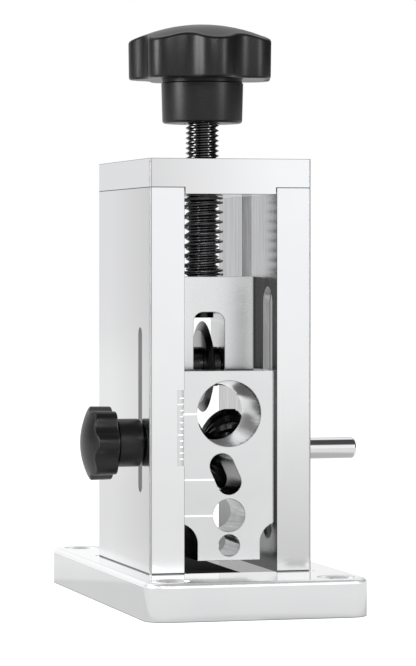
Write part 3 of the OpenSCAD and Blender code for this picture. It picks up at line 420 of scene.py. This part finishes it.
# painted dark reflection: the ground bevels are far darker than the blade's faces
bevelDarkReflection = roundFinish("groundBevelDarkReflection", at=hub, density=9000.0, dark=(0.05, 0.05, 0.052),
                          light=(0.14, 0.14, 0.145), rough=(0.16, 0.28), bump=0.1)
wheelFinish = roundFinish("oxidisedWheel", density=2500.0, dark=(0.012, 0.012, 0.013), light=(0.03, 0.03, 0.032),
                          rough=(0.22, 0.32))
hubFinish = roundFinish("oxidisedHub", at=hub, density=4000.0, dark=(0.02, 0.02, 0.02), light=(0.06, 0.06, 0.06),
                        rough=(0.22, 0.35))
screwFinish = roundFinish("oxidisedScrew", at=screwAxis, lay=(0, 0, 0), density=4000.0, dark=(0.07, 0.07, 0.073),
                          light=(0.19, 0.19, 0.195), rough=(0.1, 0.18))
springFinish = roundFinish("springWire", at=screwAxis, lay=(0, 0, 0), density=2500.0, dark=(0.05, 0.05, 0.052),
                           light=(0.13, 0.13, 0.135), rough=(0.1, 0.16))
bronzeFinish = roundFinish("bushingBronze", dark=(0.5, 0.32, 0.14), light=(0.72, 0.5, 0.25), rough=(0.25, 0.4))
brassFinish = roundFinish("insertBrass", at=lockAxis, dark=(0.62, 0.44, 0.16), light=(0.8, 0.6, 0.28),
                          rough=(0.2, 0.35))
studFinish = roundFinish("studSteel", at=lockAxis, rough=(0.15, 0.3))

# moulded plastic of both knobs
knobPlastic = {"dark": (0.003, 0.003, 0.0032), "light": (0.009, 0.009, 0.0094), "rough": (0.28, 0.34),
               "specular": 0.34, "grain": 3200.0, "pits": 0.7, "pitShare": 0.5, "clouds": 45.0, "scratches": 0.3,
               "bump": 0.35, "bumpHeight": 0.00006}


def mouldedFinish(name, look):
    material, tree, shader = blankMaterial(name)
    spot = addNode(tree, "TexCoord").outputs["Object"]
    grain = addNode(tree, "TexNoise", {"Vector": spot, "Scale": look["grain"], "Detail": 2.0,
                                       "Roughness": 0.6}).outputs["Fac"]
    pits = addNode(tree, "TexVoronoi", {"Vector": spot, "Scale": look["grain"] * look["pits"]}).outputs["Distance"]
    height = reckon(tree, "MULTIPLY_ADD", pits, look["pitShare"], grain)
    bump = addNode(tree, "Bump", {"Strength": look["bump"], "Distance": look["bumpHeight"], "Height": height})
    feed(tree, shader, {"Base Color": tinted(tree, grain, look["dark"], look["light"]), "Normal": bump.outputs[0],
                        "Roughness": mapped(tree, handling(tree, look)["Tone"], *look["rough"]),
                        "Specular IOR Level": look["specular"]})
    return material


knobFinish = mouldedFinish("mouldedKnob", knobPlastic)

print("stage: modelling helpers")


def deselectAll():
    bpy.ops.object.select_all(action="DESELECT")


def makeActive(piece):
    deselectAll()
    piece.select_set(True)
    bpy.context.view_layer.objects.active = piece


def selectAll():
    bpy.ops.mesh.select_all(action="SELECT")


def startEdit(piece):
    makeActive(piece)
    bpy.ops.object.mode_set(mode="EDIT")
    bpy.ops.mesh.select_mode(type="VERT")
    bpy.ops.mesh.select_all(action="DESELECT")


def endEdit():
    bpy.ops.object.mode_set(mode="OBJECT")


def pick(piece, kind, test):   # selects verts, edges or faces that pass the test, in edit mode
    bpy.ops.mesh.select_mode(type=kind)
    bpy.ops.mesh.select_all(action="DESELECT")
    mesh = bmesh.from_edit_mesh(piece.data)
    items = {"VERT": mesh.verts, "EDGE": mesh.edges, "FACE": mesh.faces}[kind]
    found = [item for item in items if test(item)]
    for item in found:
        item.select_set(True)
    mesh.select_flush_mode()
    bmesh.update_edit_mesh(piece.data)
    return len(found)


def useModifier(piece, kind, **settings):
    makeActive(piece)
    bpy.ops.object.modifier_add(type=kind)
    modifier = piece.modifiers[-1]
    for key, value in settings.items():
        setattr(modifier, key, value)
    bpy.ops.object.modifier_apply(modifier=modifier.name)


def tidyMesh(piece, gap=0.0005):   # merges doubles and turns faces outward
    startEdit(piece)
    selectAll()
    bpy.ops.mesh.remove_doubles(threshold=gap * mm)
    bpy.ops.mesh.normals_make_consistent(inside=False)
    endEdit()


def settle(piece, place=(0, 0, 0), turned=(0, 0, 0)):   # moves a piece and leaves its place in its mesh
    makeActive(piece)
    piece.location = Vector(place) * mm
    piece.rotation_euler = turned
    bpy.ops.object.transform_apply(location=True, rotation=True, scale=True)


def smoothShade(piece, degrees=35, weighted=False):
    makeActive(piece)
    bpy.ops.object.shade_smooth_by_angle(angle=math.radians(degrees))
    if weighted:
        useModifier(piece, "WEIGHTED_NORMAL", keep_sharp=True, weight=80)


def joinInto(target, *others):
    makeActive(target)
    for piece in others:
        piece.select_set(True)
    bpy.ops.object.join()


def finishPiece(piece, body, slotName, node, *finishes):
    for material in finishes:
        piece.data.materials.append(material)
    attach(piece, body)
    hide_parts(node)
    print("  piece:", piece.name, len(piece.data.polygons), "faces")


def bodyOf(node):
    return next(b for b, names in frame["record"]["behaviour"]["bodies"].items() if node in names)


def slotOf(node):
    return next(part["material_slot"] for part in frame["record"]["subparts"] if part["node"] == node)


def inBox(point, box):
    return all(box[0][k] * mm <= point[k] <= box[1][k] * mm for k in range(3))


# a machined piece: the CAD solid with its sharp edges broken; its materials are its own finish, the broken edges,
# the wide edges, and then one for each set of marked places
machinedLook = {"edgeFinish": edgeFinish, "angle": 32, "sharp": [], "marked": [], "edgeSegments": 2,
                "edgeProfile": 0.6, "wideSegments": 4, "smooth": 40, "merge": 0.002, "flat": 0.5, "plumb": 0.01}


def machinedPiece(name, node, finish, changes):
    look = {"wideFinish": finish, **machinedLook, **changes}
    piece = bpy.data.objects.new(name, frame["nodes"][node].data.copy())
    bpy.context.scene.collection.objects.link(piece)
    piece.data.materials.clear()
    for material in [finish, look["edgeFinish"], look["wideFinish"]] + [marked for marked, boxes in look["marked"]]:
        piece.data.materials.append(material)
    startEdit(piece)
    selectAll()
    bpy.ops.mesh.remove_doubles(threshold=look["merge"] * mm)
    bpy.ops.mesh.dissolve_limited(angle_limit=math.radians(look["flat"]))
    bpy.ops.mesh.select_mode(type="EDGE")

    def broken(edge):
        if len(edge.link_faces) != 2 or edge.calc_face_angle() < math.radians(look["angle"]):
            return False
        centre = (edge.verts[0].co + edge.verts[1].co) / 2
        return not any(inBox(centre, box) for box in look["sharp"])

    def upright(edge):   # the long upright edges outside, where a wider radius catches the light
        a, b = edge.verts[0].co, edge.verts[1].co
        return (abs(a.z - b.z) > look["tall"] * mm and (a - b).xy.length < look["plumb"] * mm
                and any(inBox(a, box) for box in look["wide"]) and broken(edge))

    if "wide" in look and pick(piece, "EDGE", upright):
        bpy.ops.mesh.bevel(offset=look["radius"] * mm, offset_type="OFFSET", segments=look["wideSegments"],
                           profile=0.5, clamp_overlap=False, material=2)
    if pick(piece, "EDGE", broken):
        bpy.ops.mesh.bevel(offset=look["edge"] * mm, offset_type="OFFSET", segments=look["edgeSegments"],
                           profile=look["edgeProfile"], clamp_overlap=False, material=1)
    endEdit()
    for index, (marked, boxes) in enumerate(look["marked"], 3):
        for face in piece.data.polygons:
            if any(inBox(face.center, box) for box in boxes):
                face.material_index = index
    makeActive(piece)
    if piece.data.has_custom_normals:
        bpy.ops.mesh.customdata_custom_splitnormals_clear()
    smoothShade(piece, look["smooth"], weighted=True)
    finishPiece(piece, bodyOf(node), slotOf(node), node)


print("stage: plates and blocks")
# places on the pieces are boxes in millimetres, low corner and high corner
roundedRim = ((-33, -64.5, 9.55), (33, 64.5, 10.95))
topFace = ((-33, -64.5, 10.98), (33, 64.5, 11.1))
baseLook = {"edge": 0.3, "angle": 40, "edgeFinish": greyEdgeReflection,
            "marked": [(rimGlowFinish, [roundedRim]), (topFinish, [topFace])]}
machinedPiece("basePlate", "base_plate", baseFinish, baseLook)

outerSides = [((-26, -38, 9), (-25, 28, 131)), ((22.2, -38, 9), (23.2, 28, 131))]
columnLook = {"edge": 0.1, "wide": outerSides, "wideFinish": greyEdgeReflection, "radius": 0.6, "tall": 100}
scaleBox = ((-18.5, -38.5, 41.5), (-15.3, -35.4, 64.5))
scaleFloor = ((-17.6, -35.9, 42), (-15.1, -35.8, 63.8))
tickFloors = ((-17.6, -35.7, 42.5), (-15.1, -35.5, 63.6))
scaleSide = ((-17.5, -37, 42.5), (-17.4, -35.9, 63.6))
lockSlot = ((-25.25, -27.9, 33.5), (-15.3, -23.3, 82))
machinedPiece("leftColumn", "left_column", columnFinish,
              {**columnLook, "sharp": [scaleBox],
               "marked": [(scaleFinish, [scaleFloor]), (engravedGlowFinish, [tickFloors, scaleSide]),
                          (slotShadeAndGlowFinish, [lockSlot])]})
machinedPiece("rightColumn", "right_column", columnFinish, columnLook)
machinedPiece("topCap", "top_cap", capFinish, {**columnLook, "edge": 0.12, "tall": 7})

blockLook = {"edge": 0.15, "edgeFinish": greyEdgeReflection, "wide": [((12, -13, 63), (12.5, -12.5, 97))], "radius": 0.4,
             "tall": 20}
machinedPiece("bladeBlock", "blade_block", blockFinish, blockLook)

linePlaces = [(56.75, -10.5), (37.8, -4.9), (27.4, -5.9)]   # height, and where the line ends
indexLines = [((-15.4, -35.5, z - 0.4), (end, -34.7, z + 0.4)) for z, end in linePlaces]
lineFloors = [((low[0], -34.98, low[2]), high) for low, high in indexLines]
smallHole, mediumHole = ((-4.9, -34, 15.2), (2.1, -20, 22.2)), ((-6.5, -34, 22.3), (3.7, -20, 32.5))
largeHole = ((-11.2, -34, 47), (8.4, -20, 66.5))
slantedSlot = ((-7.5, -34, 33), (2.5, -20, 46))
notches = [((-11.2, -35, 14.3), (-10, -19.2, 20)), ((-15, -35, 14.5), (-10, -19.2, 26)),
           ((7, -35, 14.3), (12.2, -19.2, 26))]
guideLook = {"edge": 0.16, "edgeFinish": greyEdgeReflection, "sharp": indexLines, "radius": 0.55, "tall": 20,
             "wide": [((11.8, -35.5, 14), (12.4, -34.5, 70))],
             "marked": [(engravedGlowFinish, lineFloors), (boredFinish, [smallHole, mediumHole]),
                        (boreGlowFinish, [largeHole]), (slantedShadeFinish, [slantedSlot]), (notchShadeFinish, notches)]}
machinedPiece("guideBlock", "guide_block", guideFinish, guideLook)
machinedPiece("capScrews", "cap_screws", screwFinish, {"edge": 0.25, "edgeFinish": screwFinish})

print("stage: turned pieces, threads and knobs")


# a line of edges in the XZ plane, drawn from point to point and left in edit mode
def drawnLine(name, points):
    deselectAll()
    bpy.ops.mesh.primitive_plane_add(size=2 * mm)
    piece = bpy.context.object
    piece.name = name
    startEdit(piece)
    selectAll()
    bpy.ops.mesh.merge(type="CENTER")
    bpy.ops.transform.translate(value=(points[0][0] * mm, 0, points[0][1] * mm))
    for (r0, z0), (r1, z1) in zip(points, points[1:]):
        step = ((r1 - r0) * mm, 0, (z1 - z0) * mm)
        bpy.ops.mesh.extrude_vertices_move(TRANSFORM_OT_translate={"value": step})
    return piece


# a body of rotation about Z: its half outline is drawn, then spun
def spunPiece(name, outline, steps=96):
    piece = drawnLine(name, outline)
    selectAll()
    bpy.ops.mesh.spin(steps=steps, angle=turn, center=(0, 0, 0), axis=(0, 0, 1))
    endEdit()
    tidyMesh(piece)
    return piece


# a body grown from a ring of points: each further ring is extruded and drawn to its own outline
def ringPiece(name, rings):
    count = len(rings[0])
    deselectAll()
    bpy.ops.mesh.primitive_circle_add(vertices=count, radius=mm)
    piece = bpy.context.object
    piece.name = name
    startEdit(piece)
    mesh = bmesh.from_edit_mesh(piece.data)
    order = mesh.verts.layers.int.new("order")
    mesh.verts.ensure_lookup_table()
    for k, vert in enumerate(mesh.verts):
        vert[order] = k
        vert.co = Vector(rings[0][k]) * mm
    bmesh.update_edit_mesh(piece.data)
    selectAll()
    bpy.ops.mesh.edge_face_add()
    bpy.ops.mesh.select_mode(type="FACE")
    for ring in rings[1:]:
        bpy.ops.mesh.extrude_region_move()
        mesh = bmesh.from_edit_mesh(piece.data)
        order = mesh.verts.layers.int["order"]
        for vert in mesh.verts:
            if vert.select:
                vert.co = Vector(ring[vert[order]]) * mm
        bmesh.update_edit_mesh(piece.data)
    endEdit()
    tidyMesh(piece)
    return piece


# lobed outline as on the solids: round lobes joined by hollows that touch them
def lobedOutline(look, perArc=10):
    lobes, tip, waist, lobe = look["lobes"], look["tip"], look["waist"], look["lobe"]
    reach, half = tip - lobe, math.pi / lobes
    hollow = (reach ** 2 + waist ** 2 - 2 * reach * waist * math.cos(half) - lobe ** 2) / (
        2 * (lobe - waist + reach * math.cos(half)))
    hx, hy = (waist + hollow) * math.cos(half), (waist + hollow) * math.sin(half)
    bend = math.atan2(hy, hx - reach)
    points = []
    for i in range(lobes):
        spin = turn * i / lobes
        for s in range(2 * perArc):
            share = (s % perArc) / perArc
            if s < perArc:
                a = bend * (2 * share - 1)
                x, y = reach + lobe * math.cos(a), lobe * math.sin(a)
            else:
                a = math.pi + bend - 2 * (bend - half) * share
                x, y = hx + hollow * math.cos(a), hy + hollow * math.sin(a)
            points.append((x * math.cos(spin) - y * math.sin(spin), x * math.sin(spin) + y * math.cos(spin)))
    return points


# knob with its foot on the XY plane: hub, undercut neck, lobed head with soft rims, domed top
knobLook = {"neckFoot": 1.1, "neckStart": 0.75, "neckDepth": 0.35, "neckRise": 0.15, "shelf": 1.5, "underside": 2.2,
            "footSteps": 4, "rimSteps": 5, "domeShares": (0.9, 0.78, 0.64, 0.5, 0.36, 0.22, 0.1), "smooth": 32}


def lobedKnob(name, changes):
    look = {**knobLook, **changes}
    outline = lobedOutline(look)
    angles = [math.atan2(y, x) for x, y in outline]
    ball = (look["tip"] ** 2 + look["dome"] ** 2) / (2 * look["dome"])
    top = look["hub"] + look["side"] + look["dome"]

    def domeHeight(radius):
        return top - ball + math.sqrt(ball ** 2 - radius ** 2)

    def roundRing(radius, height):
        return [(radius * math.cos(a), radius * math.sin(a), height) for a in angles]

    def headRing(inset, height):   # the outline drawn in by inset, at the height that its own radius gives
        ring = []
        for x, y in outline:
            radius = math.hypot(x, y)
            scale = (radius - inset) / radius
            ring.append((x * scale, y * scale, height(radius)))
        return ring

    def quarter(k, steps):   # sine and cosine along a quarter turn
        a = k / steps * math.pi / 2
        return math.sin(a), math.cos(a)

    soft, low, foot = look["rim"], look["lowRim"], look["foot"]
    hubLow, neck = look["hubLow"] / 2, look["hubHigh"] / 2 - look["neckDepth"]
    rings = [roundRing(radius, height) for radius, height in look["bore"]]
    for k in range(look["footSteps"] + 1):
        out, down = quarter(k, look["footSteps"])
        rings.append(roundRing(hubLow - foot + foot * out, foot - foot * down))
    rings += [roundRing(look["hubHigh"] / 2, look["hub"] - look["neckFoot"]),
              roundRing(neck, look["hub"] - look["neckStart"]), roundRing(neck, look["hub"] + look["neckRise"]),
              roundRing(min(look["hubHigh"] / 2 + look["shelf"], look["waist"] - 2 * low),
                        look["hub"] + look["neckRise"]),
              headRing(look["underside"] * low, lambda radius: look["hub"])]
    for k in range(look["footSteps"] + 1):
        out, down = quarter(k, look["footSteps"])
        rings.append(headRing(low - low * out + look["taper"],
                              lambda radius, down=down: look["hub"] + low - low * down))
    for k in range(look["rimSteps"] + 1):
        up, out = quarter(k, look["rimSteps"])
        rings.append(headRing(soft - soft * out,
                              lambda radius, up=up: domeHeight(radius - soft) - soft + soft * up))
    for share in look["domeShares"]:
        ring = []
        for (x, y), a in zip(outline, angles):
            radius = (math.hypot(x, y) - soft) * share
            ring.append((radius * math.cos(a), radius * math.sin(a), domeHeight(radius)))
        rings.append(ring)
    piece = ringPiece(name, rings)
    startEdit(piece)   # the last ring is closed with a fan that rises to the dome's middle
    pick(piece, "FACE", lambda face: len(face.verts) > 20 and face.calc_center_median().z > (top - 1) * mm)
    bpy.ops.mesh.poke()
    pick(piece, "VERT", lambda vert: vert.co.xy.length < 0.01 * mm and vert.co.z > (top - 1.5) * mm)
    mesh = bmesh.from_edit_mesh(piece.data)
    for vert in mesh.verts:
        if vert.select:
            vert.co.z = top * mm
    bmesh.update_edit_mesh(piece.data)
    endEdit()
    smoothShade(piece, look["smooth"])
    return piece


# both knobs sit and are turned as their solids are
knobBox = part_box("adjusting_knob")
bigKnob = {"lobes": 7, "tip": 22.0, "waist": 18.6, "lobe": 6.2, "side": 11.2, "dome": 5.3, "hub": 12.9,
           "hubLow": 23.8, "hubHigh": 24.4, "rim": 1.1, "lowRim": 0.7, "taper": 0.15, "foot": 0.8,
           "bore": [(4.97, 20.0), (4.97, 0.6), (5.57, 0)], "turned": -92.1}
adjustingKnob = lobedKnob("adjustingKnob", bigKnob)
settle(adjustingKnob, (*screwAxis[:2], knobBox[0].z / mm), (0, 0, math.radians(bigKnob["turned"])))
finishPiece(adjustingKnob, "adjuster", "knob_plastic", "adjusting_knob", knobFinish)

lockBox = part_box("lock_knob")
smallKnob = {"lobes": 7, "tip": 10.85, "waist": 9.3, "lobe": 3.1, "side": 6.0, "dome": 3.0, "hub": 8.2,
             "hubLow": 13.9, "hubHigh": 13.9, "rim": 0.6, "lowRim": 0.45, "taper": 0.1, "foot": 1.1,
             "bore": [(3.52, 10.1), (3.52, 0.69), (5.3, 0.69), (5.3, 0.2), (5.5, 0)], "turned": -87}
lockKnob = lobedKnob("lockKnob", smallKnob)
settle(lockKnob, turned=(0, 0, math.radians(smallKnob["turned"])))
settle(lockKnob, (lockBox[1].x / mm, *lockAxis[1:]), (0, math.radians(-90), 0))
finishPiece(lockKnob, "lock", "knob_plastic", "lock_knob", knobFinish)


# a thread: one pitch of its outline swept up a helix, then cut off square at both ends
threadShape = [(0, 0), (0, 0.08), (1, 0.44), (1, 0.56), (0, 0.92), (0, 1.0)]   # shares of the depth and the pitch


def threadedRod(name, look):
    root, pitch = look["crest"] - look["depth"], look["pitch"]
    rod = drawnLine(name, [(root + share * look["depth"], (along - 1.5) * pitch) for share, along in threadShape])
    endEdit()
    useModifier(rod, "SCREW", angle=turn, screw_offset=pitch * mm, iterations=math.ceil(look["length"] / pitch) + 3,
                steps=look["steps"], render_steps=look["steps"], use_merge_vertices=True,
                merge_threshold=0.001 * mm, use_smooth_shade=True)
    startEdit(rod)
    selectAll()
    bpy.ops.mesh.remove_doubles(threshold=0.001 * mm)
    selectAll()
    bpy.ops.mesh.fill_holes(sides=0)
    bpy.ops.mesh.normals_make_consistent(inside=False)
    for height, side in ((0, "clear_inner"), (look["length"], "clear_outer")):
        selectAll()
        bpy.ops.mesh.bisect(plane_co=(0, 0, height * mm), plane_no=(0, 0, 1), use_fill=True, **{side: True})
    endEdit()
    tidyMesh(rod, 0.001)
    smoothShade(rod, 30)
    return rod


# adjusting screw: the thread ends above a plain spigot with a hole for the retainer screw
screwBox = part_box("adjusting_screw")
spigotLook = {"length": 3.82, "outline": [(0, 1.9), (1.27, 1.9), (1.27, 0), (2.2, 0), (2.5, 0.3), (2.5, 4.2), (0, 4.2)]}
spigotFoot = screwBox[0].z / mm
threadFoot = spigotFoot + spigotLook["length"]
screwLook = {"crest": 4.95, "depth": 0.92, "pitch": 1.5, "length": screwBox[1].z / mm - threadFoot, "steps": 64,
             "turned": -79}
adjustingScrew = threadedRod("adjustingScrew", screwLook)
settle(adjustingScrew, (*screwAxis[:2], threadFoot), (0, 0, math.radians(screwLook["turned"])))
spigot = spunPiece("spigot", spigotLook["outline"], 64)
settle(spigot, (*screwAxis[:2], spigotFoot))
smoothShade(spigot)
joinInto(adjustingScrew, spigot)
finishPiece(adjustingScrew, "adjuster", "black_screw", "adjusting_screw", screwFinish)

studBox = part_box("lock_stud")
studLook = {"crest": 2.0, "depth": 0.35, "pitch": 0.7, "length": (studBox[1].x - studBox[0].x) / mm, "steps": 40}
lockStud = threadedRod("lockStud", studLook)
settle(lockStud, (studBox[0].x / mm, *lockAxis[1:]), (0, math.radians(90), 0))
finishPiece(lockStud, "guide", "bright_steel", "lock_stud", studFinish)

print("stage: drive shaft, wheel, blade and spring")
# shaft: a journal through both columns and a thinner chuck end with a chamfer and a centre hole
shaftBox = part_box("drive_shaft")
shaftLook = {"journal": 3.5, "chuck": 3.175, "ease": 0.15, "past": 0.3}
shaftLeft, shaftRight = shaftBox[0].x / mm, shaftBox[1].x / mm
length = shaftRight - shaftLeft
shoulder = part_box("right_column")[1].x / mm + shaftLook["past"] - shaftLeft
journal, chuck, eased = shaftLook["journal"], shaftLook["chuck"], shaftLook["journal"] - shaftLook["ease"]
shaftOutline = [(0, 0), (2.9, 0), (eased, 0.25), (journal, 0.6), (journal, shoulder - shaftLook["ease"]),
                (eased, shoulder), (chuck, shoulder), (chuck, length - 0.75), (3.1, length - 0.62),
                (2.72, length - 0.12), (2.5, length), (0.9, length), (0.45, length - 0.5), (0, length - 0.75)]
driveShaft = spunPiece("driveShaft", shaftOutline, 128)
settle(driveShaft, (shaftLeft, *drive[1:]), (0, math.radians(90), 0))
smoothShade(driveShaft, weighted=True)
finishPiece(driveShaft, "drive", "bright_steel", "drive_shaft", shaftFinish)

# feed wheel: serrated lands and a groove with bulged flanks that carry the same teeth, dying out at its foot
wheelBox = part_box("feed_wheel")
wheelLook = {"width": (wheelBox[1].x - wheelBox[0].x) / mm, "radius": 12.1, "foot": 6.1, "footWidth": 0.6,
             "flank": 11.5, "flankSteps": 12, "land": 4.5, "teeth": 24, "tooth": 0.9, "footTooth": 0.15,
             "middleTooth": 0.1, "fading": 0.4, "crown": 0.8, "perTooth": 8, "bore": 3.52, "boreBevel": 0.5,
             "drop": 0.1, "slope": 0.8, "landStart": 0.95, "landEnd": 0.25, "roll": 0.12,
             "recess": [(6.4, 0), (6.5, 0.35), (9.4, 0.35), (9.6, 0)]}   # radius and depth in both end faces


def feedWheel(look):
    half = look["width"] / 2
    mouth, foot = half - look["land"], look["footWidth"] / 2
    count = look["teeth"] * look["perTooth"]
    top, low, deep, bore, bevel = look["radius"], look["foot"], look["tooth"], look["bore"], look["boreBevel"]

    def toothed(radius, depth, height):
        ring = []
        for k in range(count):
            share = (k % look["perTooth"]) / look["perTooth"]
            r = radius - depth * abs(2 * share - 1) ** look["crown"]
            a = turn * (k - look["perTooth"] / 2) / count
            ring.append((r * math.cos(a), r * math.sin(a), height))
        return ring

    wayR, wayX = top - low, mouth - foot
    chord = math.hypot(wayR, wayX)
    lift = math.sqrt(look["flank"] ** 2 - chord ** 2 / 4)
    centreR, centreX = (low + top) / 2 - lift * wayX / chord, (foot + mouth) / 2 + lift * wayR / chord
    firstAngle = math.atan2(foot - centreX, low - centreR)
    bend = 2 * math.asin(chord / (2 * look["flank"]))
    # one side from the bore over its end face and its land down the flank: radius, tooth depth, place on the axis
    side = [(bore, 0, half - bevel), (bore + bevel, 0, half)]
    side += [(radius, 0, half - depth) for radius, depth in look["recess"]]
    side += [(top - deep - look["drop"], 0, half), (top - look["drop"], deep, half - look["slope"]),
             (top, deep, half - look["landStart"]), (top, deep, mouth + look["landEnd"]),
             (top - look["roll"], deep, mouth)]
    for k in range(look["flankSteps"] - 1, 0, -1):   # the teeth fade along the bulge, from its mouth to its foot
        a = firstAngle + k / look["flankSteps"] * bend
        fade = look["fading"] + (1 - look["fading"]) * k / look["flankSteps"]
        side.append((centreR + look["flank"] * math.cos(a), deep * fade, centreX + look["flank"] * math.sin(a)))
    side.append((low, look["footTooth"], foot))
    rings = [toothed(radius, depth, -x) for radius, depth, x in side] + [toothed(low, look["middleTooth"], 0)]
    rings += [toothed(radius, depth, x) for radius, depth, x in reversed(side)]
    piece = ringPiece("feedWheel", rings)
    startEdit(piece)   # the end discs go and the bore's two rims are bridged
    pick(piece, "FACE", lambda face: len(face.verts) > 40)
    bpy.ops.mesh.delete(type="ONLY_FACE")
    pick(piece, "EDGE", lambda edge: edge.is_boundary)
    bpy.ops.mesh.bridge_edge_loops()
    endEdit()
    tidyMesh(piece)
    smoothShade(piece, 22)
    return piece


wheel = feedWheel(wheelLook)
settle(wheel, drive, (0, math.radians(90), 0))
finishPiece(wheel, "drive", "wheel_steel", "feed_wheel", wheelFinish)

# blade: a flat disc, its bevels hollow ground to a fine edge, on two black hubs
bladeLook = {"side": [(3.05, 0.9), (3.25, 1.1), (10.6, 1.1), (10.75, 1.06), (12.0, 0.55), (13.0, 0.18),
                      (13.45, 0.03)], "tip": 13.5, "ground": 10.7}
bladeOutline = [(radius, -x) for radius, x in bladeLook["side"]] + [(bladeLook["tip"], 0)] + bladeLook["side"][::-1]
bladeOutline.append(bladeOutline[0])
blade = spunPiece("bladeDisc", bladeOutline, 160)
settle(blade, hub, (0, math.radians(90), 0))
smoothShade(blade, 24)
for face in blade.data.polygons:
    if Vector((face.center.y - hub[1] * mm, face.center.z - hub[2] * mm)).length > bladeLook["ground"] * mm:
        face.material_index = 1
finishPiece(blade, "blade", "blade_steel", "blade_disc", bladeFinish, bevelDarkReflection)

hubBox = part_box("blade_hubs")
end = (hubBox[1].x - hubBox[0].x) / (2 * mm)
hubOutline = [(3.05, 1.12), (5.75, 1.12), (5.9, 1.27), (5.9, end - 0.35), (5.55, end), (3.45, end), (3.05, end - 0.4),
              (3.05, 1.12)]
hubSides = []
for side in (-1, 1):
    piece = spunPiece("bladeHubs", hubOutline)
    settle(piece, hub, (0, side * math.radians(90), 0))
    smoothShade(piece)
    hubSides.append(piece)
joinInto(*hubSides)
finishPiece(hubSides[0], "blade", "hub_black", "blade_hubs", hubFinish)

# spring: round wire along the line that the solid follows, its ends wound close
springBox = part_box("feed_spring")
springLook = {"radius": 5.9, "wire": 0.4, "closePitch": 1.25, "footTurns": 1.0, "openTurns": 7.0, "topTurns": 1.0,
              "start": -15 / 360, "perTurn": 40, "round": 4, "spread": 0.22}
springLow = springBox[0].z / mm + springLook["wire"]
springHigh = springBox[1].z / mm - springLook["wire"]
closed = (springLook["footTurns"] + springLook["topTurns"]) * springLook["closePitch"]
openPitch = (springHigh - springLow - closed) / springLook["openTurns"]
allTurns = springLook["footTurns"] + springLook["openTurns"] + springLook["topTurns"]


def wireHeight(turns):
    a, b = springLook["footTurns"], springLook["openTurns"]
    return (springLow + min(turns, a) * springLook["closePitch"] + max(0, min(turns - a, b)) * openPitch
            + max(0, turns - a - b) * springLook["closePitch"])


def easedHeight(turns):   # rounds the bends where the pitch changes
    steps = [springLook["spread"] * k / 4 for k in range(-4, 5)]
    return sum(wireHeight(min(max(turns + step, 0), allTurns)) for step in steps) / len(steps)


def springWire(name, look):
    count = math.ceil(allTurns * look["perTurn"])
    line = bpy.data.curves.new(name, "CURVE")
    line.dimensions = "3D"
    line.bevel_depth = look["wire"] * mm
    line.bevel_resolution = look["round"]
    line.use_fill_caps = True
    path = line.splines.new("POLY")
    path.points.add(count)
    for i in range(count + 1):
        turns = allTurns * i / count
        a = turn * (turns + look["start"])
        path.points[i].co = (look["radius"] * math.cos(a) * mm, look["radius"] * math.sin(a) * mm,
                             easedHeight(turns) * mm, 1)
    piece = bpy.data.objects.new(name, line)
    bpy.context.scene.collection.objects.link(piece)
    makeActive(piece)
    bpy.ops.object.convert(target="MESH")
    return bpy.context.object


spring = springWire("feedSpring", springLook)
settle(spring, (*screwAxis[:2], 0))
tidyMesh(spring, 0.0002)
smoothShade(spring, 50)
spring.data.materials.clear()
spring.data.materials.append(springFinish)
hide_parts("feed_spring")
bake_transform(spring)
# for each point, the turn of the wire's centre line nearest in height is found, but the points are not moved
for vert in spring.data.vertices:
    a = math.atan2(vert.co.y - screwAxis[1] * mm, vert.co.x - screwAxis[0] * mm) / turn - springLook["start"]
    near = min((a + k for k in range(-1, int(allTurns) + 3)), key=lambda t: abs(easedHeight(t) - vert.co.z / mm))
    near = min(max(near, 0), allTurns)

print("stage: kept solids get their finishes")
keptFinishes = {"left_bushing": bronzeFinish, "right_bushing": bronzeFinish, "wheel_set_screw": screwFinish,
                "wheel_spacers": shaftFinish, "blade_axle": shaftFinish, "axle_set_screw": screwFinish,
                "thrust_washer": bronzeFinish, "retainer_screw": hubFinish, "lock_washer": screwFinish,
                "lock_insert": brassFinish, "base_screws": screwFinish}
for node, finish in keptFinishes.items():
    solid = frame["nodes"][node]
    solid.data.materials.clear()
    solid.data.materials.append(finish)
